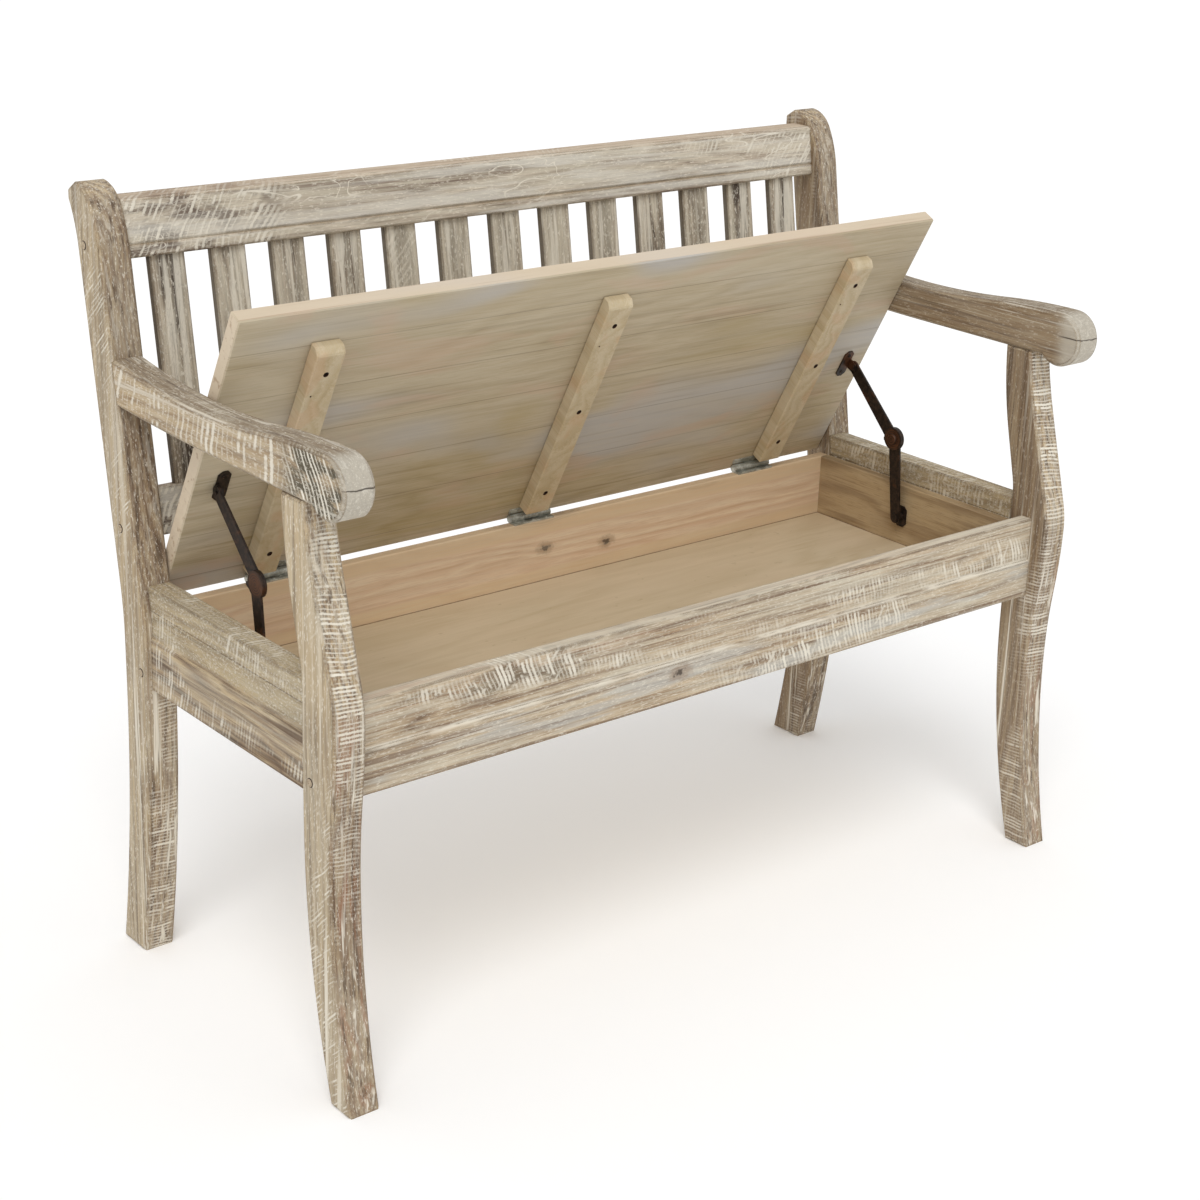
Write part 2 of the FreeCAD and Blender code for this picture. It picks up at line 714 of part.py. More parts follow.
def knuckle_place(lid_angle):
    """Where the pivots of a stay are at a lid angle: lid pivot and knuckle, as Y and Z."""
    hinge = (size("hinge_y"), size("hinge_z"))
    local = (-size("lid_pivot_reach"), size("hinge_seat") - size("lid_pivot_drop"))
    swung = turned(*local, lid_angle)
    lid_pivot = (hinge[0] + swung[0], hinge[1] + swung[1])
    foot = (size("foot_pivot_y"), size("foot_pivot_z"))
    across = (lid_pivot[0] - foot[0], lid_pivot[1] - foot[1])
    span = math.hypot(*across)
    lower, upper = size("lower_arm_length"), size("upper_arm_length")
    along = (lower ** 2 - upper ** 2 + span ** 2) / (2 * span)
    aside = math.sqrt(lower ** 2 - along ** 2)
    unit = (across[0] / span, across[1] / span)
    knuckle = (foot[0] + along * unit[0] - aside * unit[1], foot[1] + along * unit[1] + aside * unit[0])
    return foot, lid_pivot, knuckle


def tip_angle(start, end):
    """How far back from upright the line from start to end is tipped."""
    return math.degrees(math.atan2(end[0] - start[0], end[1] - start[1]))


def strap(end_radius, knuckle_radius, length):
    """Outline of a tapered strap with two round ends: pivot at the origin, knuckle above it."""
    slope = math.asin((knuckle_radius - end_radius) / length)
    low = [point(side * end_radius * math.cos(slope), -end_radius * math.sin(slope)) for side in (1, -1)]
    high = [point(side * knuckle_radius * math.cos(slope), length - knuckle_radius * math.sin(slope))
            for side in (1, -1)]
    return [Part.Arc(low[0], point(0, -end_radius), low[1]), Part.LineSegment(low[1], high[1]),
            Part.Arc(high[1], point(0, length + knuckle_radius), high[0]),
            Part.LineSegment(high[0], low[0])]


def stay_arm(label, length, hand, stop=False):
    """One flat arm: a tapered strap, bored at its pivot, and a round knuckle disc."""
    body = new_body(label)
    reach = size(length)
    outline = sketch_on(body, "YZ_Plane", "strap")
    trace(outline, strap(size("stay_end_radius"), size("stay_strap_radius"), reach))
    pad(body, outline, "stay_steel", reverse=hand > 0)
    disc = sketch_on(body, "YZ_Plane", "disc")
    circle(disc, "stay_disc_radius", "0", length)
    pad(body, disc, "stay_steel", reverse=hand > 0)
    if stop:
        nib = sketch_on(body, "YZ_Plane", "stop_nib")
        radius = size("stay_disc_radius")
        tip = radius + size("stop_nib")
        trace(nib, polygon([point(radius * 0.6, reach), point(radius * 0.7, reach - radius * 0.6),
                            point(tip, reach - size("stop_nib")), point(tip, reach)]))
        pad(body, nib, "stay_steel", reverse=hand > 0)
    bore = sketch_on(body, "YZ_Plane", "bore")
    circle(bore, "stay_rivet_radius + pivot_play")
    pocket(body, bore, "stay_steel + 1", reverse=hand < 0)
    return body


def small_plate(label, wide, long):
    """A fixing plate with its corners cut off, its middle at the body's origin."""
    body = new_body(label)
    sketch = sketch_on(body, "XY_Plane", "outline")
    rectangle(sketch, wide, long, f"-{wide} / 2", f"-{long} / 2")
    pad(body, sketch, "stay_plate_thickness")
    bevel_edges(body, "plate_corner", lambda edge: edge.BoundBox.ZLength > 0.001)
    return body


foot, lid_pivot, knuckle = knuckle_place(OPEN)
shut_foot, shut_lid_pivot, shut_knuckle = knuckle_place(0)
lower_tip, upper_tip = tip_angle(foot, knuckle), tip_angle(lid_pivot, knuckle)
lower_swing = tip_angle(shut_foot, shut_knuckle) - lower_tip
upper_swing = tip_angle(shut_lid_pivot, shut_knuckle) - upper_tip + OPEN
print(f"shutting turns the lid {OPEN:.3f}, the lower arm {-lower_swing:.3f} and, on the lid, the upper arm"
      f" {-upper_swing:.3f} degrees about +X")
print("foot pivot", foot, "lid pivot", lid_pivot, "knuckle", knuckle, "depth centre", size("depth_centre"))
sheet_rows = {
    "lid_pivot_y": lid_pivot[0],
    "lid_pivot_z": lid_pivot[1],
    "knuckle_y": knuckle[0],
    "knuckle_z": knuckle[1],
}
for row, (alias, value) in enumerate(sheet_rows.items(), start=last_row + 1):
    sheet.set(f"A{row}", alias)
    sheet.set(f"B{row}", str(value))
    sheet.setAlias(f"B{row}", alias)
doc.recompute()

for side, hand in SIDES.items():
    # across the bench, from the box side inwards: foot plate, boss, lower arm, upper arm, ear
    def outward(distance):
        """X of a face at a distance outward from the plane between the two arms."""
        return f"{hand} * (stay_stand + {distance})"

    lower = stay_arm("stay_lower_arm_" + side, "lower_arm_length", hand, stop=True)
    seat(lower, outward("joint_play / 2 + stay_steel"), "foot_pivot_y", "foot_pivot_z", lower_tip)

    upper = stay_arm("upper_arm_strap_" + side, "upper_arm_length", hand)
    seat(upper, outward("-joint_play / 2"), "lid_pivot_y", "lid_pivot_z", upper_tip)
    rivet = new_body("knuckle_rivet_" + side)
    profile = sketch_on(rivet, "XY_Plane", "profile")
    wide, high, sunk = size("knuckle_head_radius"), size("stay_head_height"), size("stay_steel") / 2
    trace(profile, polygon([Vector(0, -sunk, 0), Vector(wide, -sunk, 0), Vector(wide, high, 0),
                            Vector(wide - high, 2 * high, 0), Vector(0, 2 * high, 0)]))
    turned_head = rivet.newObject("PartDesign::Revolution", profile.Name + "_turned")
    turned_head.Profile = profile
    turned_head.ReferenceAxis = (profile, ["V_Axis"])
    turned_head.Angle = 360
    rivet.Placement = FreeCAD.Placement(
        Vector(), FreeCAD.Rotation(Vector(0, 1, 0), Vector(-hand, 0, 0)))
    put(rivet, outward("-joint_play / 2 - stay_steel"), "knuckle_y - depth_centre", "knuckle_z")
    NODES += [lower, fused("stay_upper_arm_" + side, [upper, rivet])]

    def across(name, radius, start, height):
        """A round bar on the foot pivot that starts outward of the arms and runs inward."""
        return cylinder(f"{name}_{side}", radius, height, outward(start),
                        "foot_pivot_y - depth_centre", "foot_pivot_z", Vector(-hand, 0, 0))

    boss_end = "(joint_play * 1.5 + stay_steel)"
    plate = small_plate("foot_plate_" + side, "foot_plate_length", "foot_plate_width")
    put(plate, outward("stay_boss"), "foot_pivot_y - depth_centre", "foot_pivot_z", Vector(-hand, 0, 0))
    boss = across("foot_boss", "foot_boss_radius", "stay_boss", f"stay_boss - {boss_end}")
    shank = across("foot_shank", "stay_rivet_radius", boss_end, f"{boss_end} + joint_play")
    head = across("foot_head", "stay_head_radius", "-joint_play", "stay_head_height")
    NODES.append(fused("stay_foot_plate_" + side, [plate, boss, shank, head]))

    # the lid plate is drawn shut: an oval on the lid's underside, an ear beside the upper arm, a rivet
    ear_out = "(stay_stand - joint_play * 1.5 - stay_steel)"
    plate = small_plate("lid_plate_" + side, "lid_plate_width", "lid_plate_length")
    put(plate, f"{hand} * ({ear_out} - lid_plate_width / 2)", "-lid_pivot_reach",
        "hinge_seat - stay_plate_thickness")
    ear_x = f"{hand} * {ear_out}" + ("" if hand < 0 else " - stay_plate_thickness")
    pivot_at = ("-lid_pivot_reach", "hinge_seat - lid_pivot_drop")
    ear_round = cylinder("lid_ear_round_" + side, "lid_ear_radius", "stay_plate_thickness", ear_x,
                         *pivot_at)
    ear_web = box("lid_ear_web_" + side, "stay_plate_thickness", "2 * lid_ear_radius",
                  "lid_pivot_drop - stay_plate_thickness / 2", ear_x,
                  "-lid_pivot_reach - lid_ear_radius", "hinge_seat - lid_pivot_drop")
    inner_side = f"{hand} * ({ear_out} - stay_plate_thickness - stay_head_height)"
    through = "2 * stay_head_height + stay_plate_thickness + stay_steel + 1.5 * joint_play"
    pin = cylinder("lid_pivot_pin_" + side, "stay_rivet_radius", through, inner_side, *pivot_at,
                   Vector(hand, 0, 0))
    pin_head = cylinder("lid_pivot_head_" + side, "stay_head_radius - 1", "stay_head_height",
                        inner_side, *pivot_at, Vector(hand, 0, 0))
    lid_plate = fused("stay_lid_plate_" + side, [plate, ear_round, ear_web, pin, pin_head])
    on_lid(lid_plate)
    NODES.append(lid_plate)

# The lid's boards, glued edge to edge
lid_panel = plank("lid_panel", "2 * lid_half", "lid_depth", "lid_thickness")
on_lid(lid_panel, "-lid_half", "lid_past_hinge - lid_depth", "hinge_seat")
NODES.append(lid_panel)

# Check everything, then write one file for each piece
doc.recompute()
faults = [item.Name for item in doc.Objects if {"Invalid", "Error"} & set(item.State)]
for node in NODES:
    if node.Shape.isNull() or not node.Shape.isValid() or not node.Shape.Solids:
        faults.append(node.Label)
if faults:
    raise RuntimeError("failed: " + ", ".join(faults))
os.makedirs("parts", exist_ok=True)
for node in NODES:
    node.Shape.exportStep(f"parts/{node.Label}.step")
print(len(NODES), "nodes")
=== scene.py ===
import math

import bmesh
import bpy
from mathutils import Matrix, Vector


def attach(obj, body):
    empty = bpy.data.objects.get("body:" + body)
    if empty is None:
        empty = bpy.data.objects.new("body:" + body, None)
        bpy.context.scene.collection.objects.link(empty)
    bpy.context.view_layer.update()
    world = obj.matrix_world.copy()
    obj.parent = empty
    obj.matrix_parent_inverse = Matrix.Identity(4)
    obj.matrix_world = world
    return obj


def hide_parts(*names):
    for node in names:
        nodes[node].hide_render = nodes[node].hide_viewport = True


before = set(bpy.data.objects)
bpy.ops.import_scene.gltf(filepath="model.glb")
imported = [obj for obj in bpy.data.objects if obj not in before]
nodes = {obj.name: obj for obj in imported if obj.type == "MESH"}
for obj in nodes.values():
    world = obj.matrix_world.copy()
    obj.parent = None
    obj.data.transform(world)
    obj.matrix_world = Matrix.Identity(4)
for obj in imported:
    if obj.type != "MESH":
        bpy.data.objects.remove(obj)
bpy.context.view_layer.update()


# Camera
# The photograph's own view: a little above the arms, from the front and to the left of the bench.
# Its place, angles and focal length were fitted together with the bench's main sizes.
YAW, PITCH, ROLL = (math.radians(angle) for angle in (40.043, 20.863, 2.054))
FOCAL_SHARE = 2273.28 / 1200
SENSOR = 36.0
STANDPOINT = (-1.75119, -2.07099, 1.4298)
look = Vector((math.sin(YAW) * math.cos(PITCH), math.cos(YAW) * math.cos(PITCH), -math.sin(PITCH)))
level = Vector((math.cos(YAW), -math.sin(YAW), 0))
above = level.cross(look)
right = level * math.cos(ROLL) + above * math.sin(ROLL)
up = above * math.cos(ROLL) - level * math.sin(ROLL)
camera = bpy.data.objects.new("camera", bpy.data.cameras.new("camera"))
camera.data.sensor_width = SENSOR
camera.data.lens = FOCAL_SHARE * SENSOR
camera.data.clip_end = 100
camera.matrix_world = Matrix.Translation(STANDPOINT) @ Matrix((right, up, -look)).transposed().to_4x4()
bpy.context.scene.collection.objects.link(camera)
bpy.context.scene.camera = camera
bpy.context.scene.view_settings.view_transform = "Standard"


# Floor and light
# A white sweep of paper on the ground, a broad soft lamp from the upper left and an even white room.
# What the camera and the metal see of the room is full white.
class Signal:
    """What one shader socket gives. Arithmetic on it adds Math nodes to its own material."""

    def __init__(self, finish, socket):
        self.finish, self.socket = finish, socket

    def math(self, operation, *terms):
        return self.finish.node("ShaderNodeMath", {"operation": operation}, dict(enumerate(terms)))

    def __add__(self, other):
        return self.math("ADD", self, other)

    def __sub__(self, other):
        return self.math("SUBTRACT", self, other)

    def __rsub__(self, other):
        return self.math("SUBTRACT", other, self)

    def __mul__(self, other):
        return self.math("MULTIPLY", self, other)

    def __truediv__(self, other):
        return self.math("DIVIDE", self, other)

    def __abs__(self):
        return self.math("ABSOLUTE", self)

    __radd__, __rmul__ = __add__, __mul__

    def also(self, out):
        """Another output of the same node."""
        return Signal(self.finish, self.socket.node.outputs[out])

    def fraction(self):
        return self.math("FRACT", self)

    def whole(self):
        return self.math("FLOOR", self)

    def most(self, other):
        return self.math("MAXIMUM", self, other)

    def between(self, low, high):
        """0 below low, 1 above high and smooth on the way; low may be the larger."""
        return self.finish.node("ShaderNodeMapRange", {"interpolation_type": "SMOOTHSTEP"},
                                {0: self, 1: low, 2: high})


def shade(code):
    """A colour written as six hex digits, as the shader's linear colour."""
    parts = [int(code[i:i + 2], 16) / 255 for i in (0, 2, 4)]
    return [p / 12.92 if p < 0.04045 else ((p + 0.055) / 1.055) ** 2.4 for p in parts] + [1.0]


class Net:
    """A node tree under construction."""

    def __init__(self, tree, kinds):
        self.tree, self.kinds = tree, kinds
        tree.nodes.clear()

    def node(self, kind, settings=None, sockets=None, out=0):
        """Add a node: its type, its settings, then the values or links of its sockets."""
        made = self.tree.nodes.new(kind if "Node" in kind else self.kinds + kind)
        for key, value in (settings or {}).items():
            setattr(made, key, value)
        for key, value in (sockets or {}).items():
            many = isinstance(value, list) and isinstance(value[0], Signal)
            for one in value if many else [value]:
                if isinstance(one, Signal):
                    self.tree.links.new(one.socket, made.inputs[key])
                else:
                    made.inputs[key].default_value = one
        return Signal(self, made.outputs[out]) if len(made.outputs) else None


class Finish(Net):
    """A material under construction."""

    def __init__(self, name):
        self.material = bpy.data.materials.new(name)
        self.material.use_nodes = True
        super().__init__(self.material.node_tree, "ShaderNode")

    def mix(self, share, first, second):
        return self.node("Mix", {"data_type": "RGBA"}, {0: share, 6: first, 7: second}, out=2)

    def noise(self, place, scale, detail=3.0, roughness=0.5, warp=0.0, seed=0.0):
        """Cloudy values from 0 to 1; scale is how many clouds fit in a metre, each way."""
        scaled = self.node("Mapping", None, {"Vector": place, "Scale": scale,
                                             "Location": (seed, seed * 1.7, seed * 0.6)})
        return self.node("TexNoise", None, {"Vector": scaled, "Scale": 1.0, "Detail": detail,
                                            "Roughness": roughness, "Distortion": warp})

    def grain(self, along, tilt=0.0):
        """Object coordinates turned so that X runs with the grain; tilt is about X, in degrees."""
        place = self.node("TexCoord", out="Object")
        turned = self.node("Mapping", None, {"Vector": place, "Rotation": (math.radians(tilt), 0, 0)})
        order = {"x": "XZY", "y": "YXZ", "z": "ZXY"}[along]
        apart = [self.node("SeparateXYZ", None, {0: turned}, out=axis) for axis in order]
        return self.node("CombineXYZ", None, dict(enumerate(apart)))

    def parts(self, place):
        """The three numbers of a place: with the grain, across it, through the board."""
        return [self.node("SeparateXYZ", None, {0: place}, out=axis) for axis in "XYZ"]

    def facing(self, axis):
        """How far the surface looks along one of the object's axes, from -1 to 1."""
        return self.node("SeparateXYZ", None, {0: self.node("TexCoord", out="Normal")}, out=axis)

    def spot(self, axis):
        """Where on the bench the surface is, along one of its axes, in metres."""
        return self.node("SeparateXYZ", None, {0: self.node("TexCoord", out="Object")}, out=axis)

    def surface(self, colour, roughness, height=None, depth=0.0, normal=None, **fixed):
        sockets = {"Base Color": colour, "Roughness": roughness}
        if height is not None:
            bump = {"Height": height, "Distance": depth, "Strength": 1.0}
            if normal is not None:
                bump["Normal"] = normal
            normal = self.node("Bump", None, bump)
        if normal is not None:
            sockets["Normal"] = normal
        sockets.update({key.replace("_", " "): value for key, value in fixed.items()})
        self.node("OutputMaterial", None, {"Surface": self.node("BsdfPrincipled", None, sockets)})
        return self.material


REACH = 40.0
floor_mesh = bpy.data.meshes.new("floor")
corners = [(-REACH, -REACH, 0), (REACH, -REACH, 0), (REACH, REACH, 0), (-REACH, REACH, 0)]
floor_mesh.from_pydata(corners, [], [(0, 1, 2, 3)])
floor = bpy.data.objects.new("floor", floor_mesh)
bpy.context.scene.collection.objects.link(floor)
paper = Finish("white paper")
floor_mesh.materials.append(paper.surface((0.96, 0.96, 0.96, 1.0), 0.9, Specular_IOR_Level=0.0,
                                          Emission_Color=(1, 1, 1, 1), Emission_Strength=0.07))

ROOM_LIGHT = 0.74
bpy.context.scene.world = bpy.data.worlds.new("room")
bpy.context.scene.world.use_nodes = True
room = Net(bpy.context.scene.world.node_tree, "ShaderNode")
white_share = room.node("LightPath", out="Is Camera Ray").most(
    room.node("LightPath", out="Is Glossy Ray")).most(room.node("LightPath", out="Is Transmission Ray"))
room.node("OutputWorld", None, {"Surface": room.node("Background", None, {
    "Color": (1, 1, 1, 1), "Strength": white_share * (1 - ROOM_LIGHT) + ROOM_LIGHT})})

sun = bpy.data.objects.new("soft lamp", bpy.data.lights.new("soft lamp", "SUN"))
sun.data.energy = 1.15
sun.data.angle = math.radians(30)
sun.rotation_euler = Vector((-0.42, -0.46, 0.85)).to_track_quat("Z", "Y").to_euler()
bpy.context.scene.collection.objects.link(sun)


# Posts
# Four legs sawn from rough hardwood planks, stained brown, brushed and rubbed with a chalky wash.
# The saw's marks still run across them and hold the white, and handling has worn their edges tan.
# DEEP_BROWN_AND_SHADE is the dark brown of knot cores and the arm's crack, and painted shade on the plugs'
# rims.
CHALK, MILK = shade("eae3d3"), shade("cbc2ae")
UMBER, DRIFT, TAN = shade("4d3b2b"), shade("92795d"), shade("bfa883")
WORN, DEEP_BROWN_AND_SHADE = shade("c4ac86"), shade("33271e")


def board(finish, place, dark, middle, light, seed=0.0, rings=90.0):
    """Bare wood: growth rings that swing past, narrow grain and pores. Gives colour and relief."""
    across, deep = finish.parts(place)[1:]
    sway = finish.noise(place, (1.7, 9, 9), 3, 0.5, 0.3, seed)
    narrow = finish.noise(place, (6, 260, 260), 4, 0.65, 0.3, seed + 3)
    pores = finish.noise(place, (40, 1100, 1100), 2, 0.5, 0.0, seed + 5)
    turns = (across + deep * 0.6) * rings + sway * 9 + narrow * 0.9
    ring = abs(turns.fraction() - 0.5) * 2
    tone = ring * 0.3 + narrow * 0.45 + finish.noise(place, (3, 30, 30), 3, 0.6, 0.5, seed + 7) * 0.5
    colour = finish.mix(tone.between(0.36, 0.58), dark, middle)
    colour = finish.mix(tone.between(0.54, 0.82), colour, light)
    colour = finish.mix(pores.between(0.47, 0.36) * 0.45, colour, dark)
    return colour, narrow * 0.6 + pores * 0.4


def knots(finish, place, colour, scale, share, seed=0.0):
    """Dark oval knots with a paler halo in a share of the cells of a loose net."""
    bent = finish.noise(place, (9, 9, 9), 2, 0.5, 0.0, seed + 11)
    shifted = finish.node("Mapping", None, {"Vector": place, "Scale": scale, "Location": (seed, seed, 0)})
    spread = finish.node("VectorMath", {"operation": "ADD"}, {
        0: shifted, 1: finish.node("CombineXYZ", None, {0: bent * 0.4, 1: bent * 0.5})})
    near = finish.node("TexVoronoi", None, {"Vector": spread, "Scale": 1.0}, out="Distance")
    cell = finish.node("TexVoronoi", None, {"Vector": spread, "Scale": 1.0}, out="Color")
    chosen = finish.node("SeparateXYZ", None, {0: cell}, out="X").between(share, share * 0.9)
    rings = abs((near * 26).fraction() - 0.5) * 2
    colour = finish.mix(near.between(0.34, 0.1) * chosen * (rings * 0.4 + 0.25), colour, shade("6f533b"))
    return finish.mix(near.between(0.12, 0.05) * chosen * 0.85, colour, DEEP_BROWN_AND_SHADE)


def milk(finish, place, colour, amount, seed=0.0):
    """A thin wash, thick in patches and combed along the grain."""
    patch = finish.noise(place, (4, 22, 22), 4, 0.6, 0.4, seed + 21).between(0.36, 0.66)
    combed = finish.noise(place, (8, 380, 380), 3, 0.65, 0.2, seed + 23).between(0.42, 0.62)
    return finish.mix((patch * 0.5 + combed * 0.55) * amount, colour, MILK)


def strokes(finish, place, pitch, slant=0.0, width=0.4, share=0.5, seed=0.0):
    """The saw's marks: lines across the grain, a pitch apart, each with its own strength and breaks."""
    along, across, deep = finish.parts(place)
    wander = finish.noise(place, (9, 14, 14), 2, 0.5, 0.0, seed + 31)
    count = (along + (across + deep) * slant) / pitch + wander * 3.2
    number = count.whole()
    strength = finish.node("TexWhiteNoise", {"noise_dimensions": "1D"}, {"W": number + seed * 3.1})
    breaks = finish.noise(finish.node("CombineXYZ", None, {0: number * 0.37, 1: across, 2: deep}),
                          (1, 55, 55), 2, 0.6, 0.0, seed + 33)
    ragged = finish.noise(place, (520, 420, 420), 3, 0.75, 0.0, seed + 35)
    middle = 1 - abs(count.fraction() - 0.5) * 2
    line = (middle - (1 - width) + (strength - 0.5) * 0.45 + (ragged - 0.5) * 1.3).between(0.0, 0.25)
    return line * breaks.between(0.62 - share * 0.32, 0.66 - share * 0.22) * (strength * 0.6 + 0.4)


def patches(finish, place, scale, low, high, seed=0.0):
    """Large soft areas where a treatment shows."""
    return finish.noise(place, scale, 3, 0.55, 0.3, seed + 41).between(low, high)


def flecks(finish, place, low, high, seed=0.0, scale=(130, 520, 520)):
    """Grains of wash left in the pores."""
    return finish.noise(place, scale, 3, 0.7, 0.0, seed + 45).between(low, high)


def worn(finish, colour, place, amount=0.8):
    """Rub the edges down to tan wood, with a line of dirt beside them; also gives the softened normal."""
    flat = finish.node("NewGeometry", out="Normal")
    soft = finish.node("Bevel", {"samples": 4}, {"Radius": 0.0034})
    agree = finish.node("VectorMath", {"operation": "DOT_PRODUCT"}, {0: soft, 1: flat}, out="Value")
    rubbed = finish.noise(place, (26, 60, 60), 3, 0.6, 0.0, 51)
    dirt = agree.between(0.998, 0.96) * rubbed.between(0.4, 0.55)
    colour = finish.mix(dirt * 0.75, colour, shade("4c3a2a"))
    edge = agree.between(0.93, 0.85) * (rubbed.between(0.3, 0.58) * 0.6 + 0.4)
    return finish.mix(edge * amount, colour, WORN), soft


def dress(names, material):
    """Give CAD nodes their finish."""
    for name in names:
        nodes[name].data.materials.clear()
        nodes[name].data.materials.append(material)


post = Finish("whitewashed post")
place = post.grain("z")
colour, relief = board(post, place, UMBER, DRIFT, TAN, seed=1)
colour = knots(post, place, colour, (5, 16, 16), 0.16, seed=2)
hand = post.spot("X").between(-0.01, 0.01) * 2 - 1
outside = (post.facing("X") * hand).between(0.6, 0.85)
inside = (post.facing("X") * hand).between(-0.6, -0.85)
forward = abs(post.facing("Y")).between(0.6, 0.85)
high = post.spot("Z").between(0.44, 0.5)
rearward = post.spot("Y").between(0.06, 0.08)
neck = high * (1 - rearward)
colour = post.mix(outside * 0.5, colour, shade("a8977a"))
colour = post.mix(outside * neck * 0.5, colour, shade("c9b491"))
colour = post.mix(inside * 0.6, colour, shade("6d5740"))
colour = post.mix(forward * (1 - neck) * 0.45, colour, shade("6a5442"))
front_leg = forward * (1 - high) * (1 - rearward)
russet = post.noise(place, (7, 60, 60), 3, 0.6, 0.4, 12).between(0.5, 0.62) * front_leg
colour = post.mix(russet * 0.7, colour, shade("8a5a38"))
colour = milk(post, place, colour, 0.45 - inside * 0.2 + forward * neck * 0.3, seed=1)
hatch = strokes(post, place, 0.0058, slant=0.9, width=0.42, share=0.5, seed=3)
hatch = hatch * patches(post, place, (3.5, 9, 9), 0.5, 0.6, 3) * outside
rungs = strokes(post, place, 0.0046, slant=0.08, width=0.55, share=0.9, seed=6)
rungs = rungs * (patches(post, place, (5, 10, 10), 0.46, 0.58, 6) * forward * (1 - high) * 0.8
                 + patches(post, place, (4, 10, 10), 0.3, 0.42, 7) * forward * neck
                 + patches(post, place, (4, 10, 10), 0.52, 0.62, 8) * inside * 0.6)
specks = flecks(post, place, 0.56, 0.66, 4) * (1 - inside * 0.5)
drips = post.noise(place, (2.4, 130, 130), 3, 0.6, 0.3, 13).between(0.56, 0.66) * (1 - high * 0.6)
streaks = post.noise(place, (3, 150, 150), 4, 0.65, 0.2, 9).between(0.52, 0.66)
colour = post.mix(streaks * (0.75 - outside * 0.25), colour, UMBER)
colour = post.mix((hatch * 0.75).most(rungs).most(specks * 0.65).most(drips * 0.75), colour, CHALK)
colour, soft = worn(post, colour, place)
dress([f"{which}_post_{side}" for which in ("rear", "front") for side in ("left", "right")],
      post.surface(colour, 0.82, relief + hatch * 0.5 + rungs * 0.6, 0.0006, soft))


# Aprons and front rail
# Boards tenoned between the posts, with a thicker band below. The wash is scrubbed into their sawn
# faces, in dense patches on the front rail, and lies as a thin bright line on its step.
APRON_GROOVE = 0.4605
apron = Finish("whitewashed apron")
place = apron.grain("y")
colour, relief = board(apron, place, UMBER, DRIFT, TAN, seed=7)
upper_band = apron.spot("Z").between(0.428, 0.434)
colour = milk(apron, place, colour, 0.5, seed=7)
stipple = apron.noise(place, (230, 420, 420), 3, 0.75, 0.0, 8).between(0.5, 0.62)
crossing = strokes(apron, place, 0.0062, slant=0.15, width=0.6, share=0.7, seed=9)
crossing = crossing * patches(apron, place, (7, 12, 12), 0.5, 0.6, 9)
streaks = apron.noise(place, (3, 120, 120), 3, 0.6, 0.2, 10).between(0.54, 0.66)
colour = apron.mix(upper_band * 0.4, colour, shade("a89a78"))
colour = apron.mix(streaks * (1 - upper_band * 0.6) * 0.75, colour, shade("5d4733"))
# A dark line along the groove at APRON_GROOVE: painted shade in the groove.
groove_shade = abs(apron.spot("Z") - APRON_GROOVE).between(0.0012, 0.0004)
colour = apron.mix(groove_shade * 0.7, colour, shade("57442f"))
colour = apron.mix((stipple * upper_band * 0.5).most(crossing * 0.65), colour, CHALK)
colour, soft = worn(apron, colour, place)
dress(["side_apron_left", "side_apron_right"],
      apron.surface(colour, 0.85, relief + stipple * 0.5 + crossing * 0.6, 0.0007, soft))


def one_knot(finish, colour, x, z, size):
    """A single knot at a known spot of an upright face, longer along the grain."""
    off_x, off_z = (finish.spot("X") - x) / 1.7, finish.spot("Z") - z
    blur = finish.noise(finish.node("TexCoord", out="Object"), (130, 130, 130), 3, 0.6, 0.0, x * 90) - 0.5
    squared = off_x * off_x + off_z * off_z
    reach = squared.math("SQRT", squared) + blur * size * 2.4
    colour = finish.mix(reach.between(size * 2.4, size) * 0.45, colour, shade("876a4e"))
    return finish.mix(reach.between(size, size * 0.4) * 0.8, colour, DEEP_BROWN_AND_SHADE)


BAND = 0.413
RAIL_KNOT_AT, RAIL_KNOT = (-0.082, 0.398), 0.006
rail = Finish("whitewashed front rail")
place = rail.grain("x")
colour, relief = board(rail, place, shade("6b523c"), shade("a18a6e"), shade("c6b193"), seed=12, rings=60)
colour = knots(rail, place, colour, (4.5, 14, 14), 0.16, seed=13)
level_at = rail.spot("Z")
upper = level_at.between(BAND, BAND + 0.003)
orange = rail.noise(place, (3, 60, 60), 3, 0.6, 0.3, 14).between(0.52, 0.66) * level_at.between(0.44, 0.455)
colour = rail.mix(orange * 0.75, colour, shade("a36f45"))
colour = milk(rail, place, colour, 0.9, seed=12)
blue_milk = patches(rail, place, (4, 40, 40), 0.5, 0.62, 18) * (1 - upper)
colour = rail.mix(blue_milk * 0.55, colour, shade("b9b9b4"))
scrubbed = strokes(rail, place, 0.0058, slant=0.3, width=0.62, share=0.8, seed=15)
scrubbed = scrubbed.most(strokes(rail, place, 0.011, slant=-0.5, width=0.4, share=0.5, seed=16) * 0.8)
scrubbed = scrubbed * (patches(rail, place, (2.6, 12, 12), 0.5, 0.6, 17) * upper
                       + patches(rail, place, (2.6, 12, 12), 0.45, 0.6, 19) * (1 - upper)
                       * rail.spot("X").between(-0.1, 0.1))
dense = rail.noise(place, (9, 30, 30), 3, 0.6, 0.3, 23).between(0.52, 0.62) * patches(
    rail, place, (2.6, 12, 12), 0.5, 0.6, 17) * upper
colour = rail.mix(dense * 0.6, colour, shade("5a4e3b"))
rubbed_off = rail.noise(place, (14, 90, 90), 3, 0.6, 0.0, 20).between(0.3, 0.5)
ridge = abs(level_at - BAND).between(0.0042, 0.001) * rubbed_off
top = rail.facing("Z").between(0.6, 0.85)
specks = flecks(rail, place, 0.55, 0.64, 11)
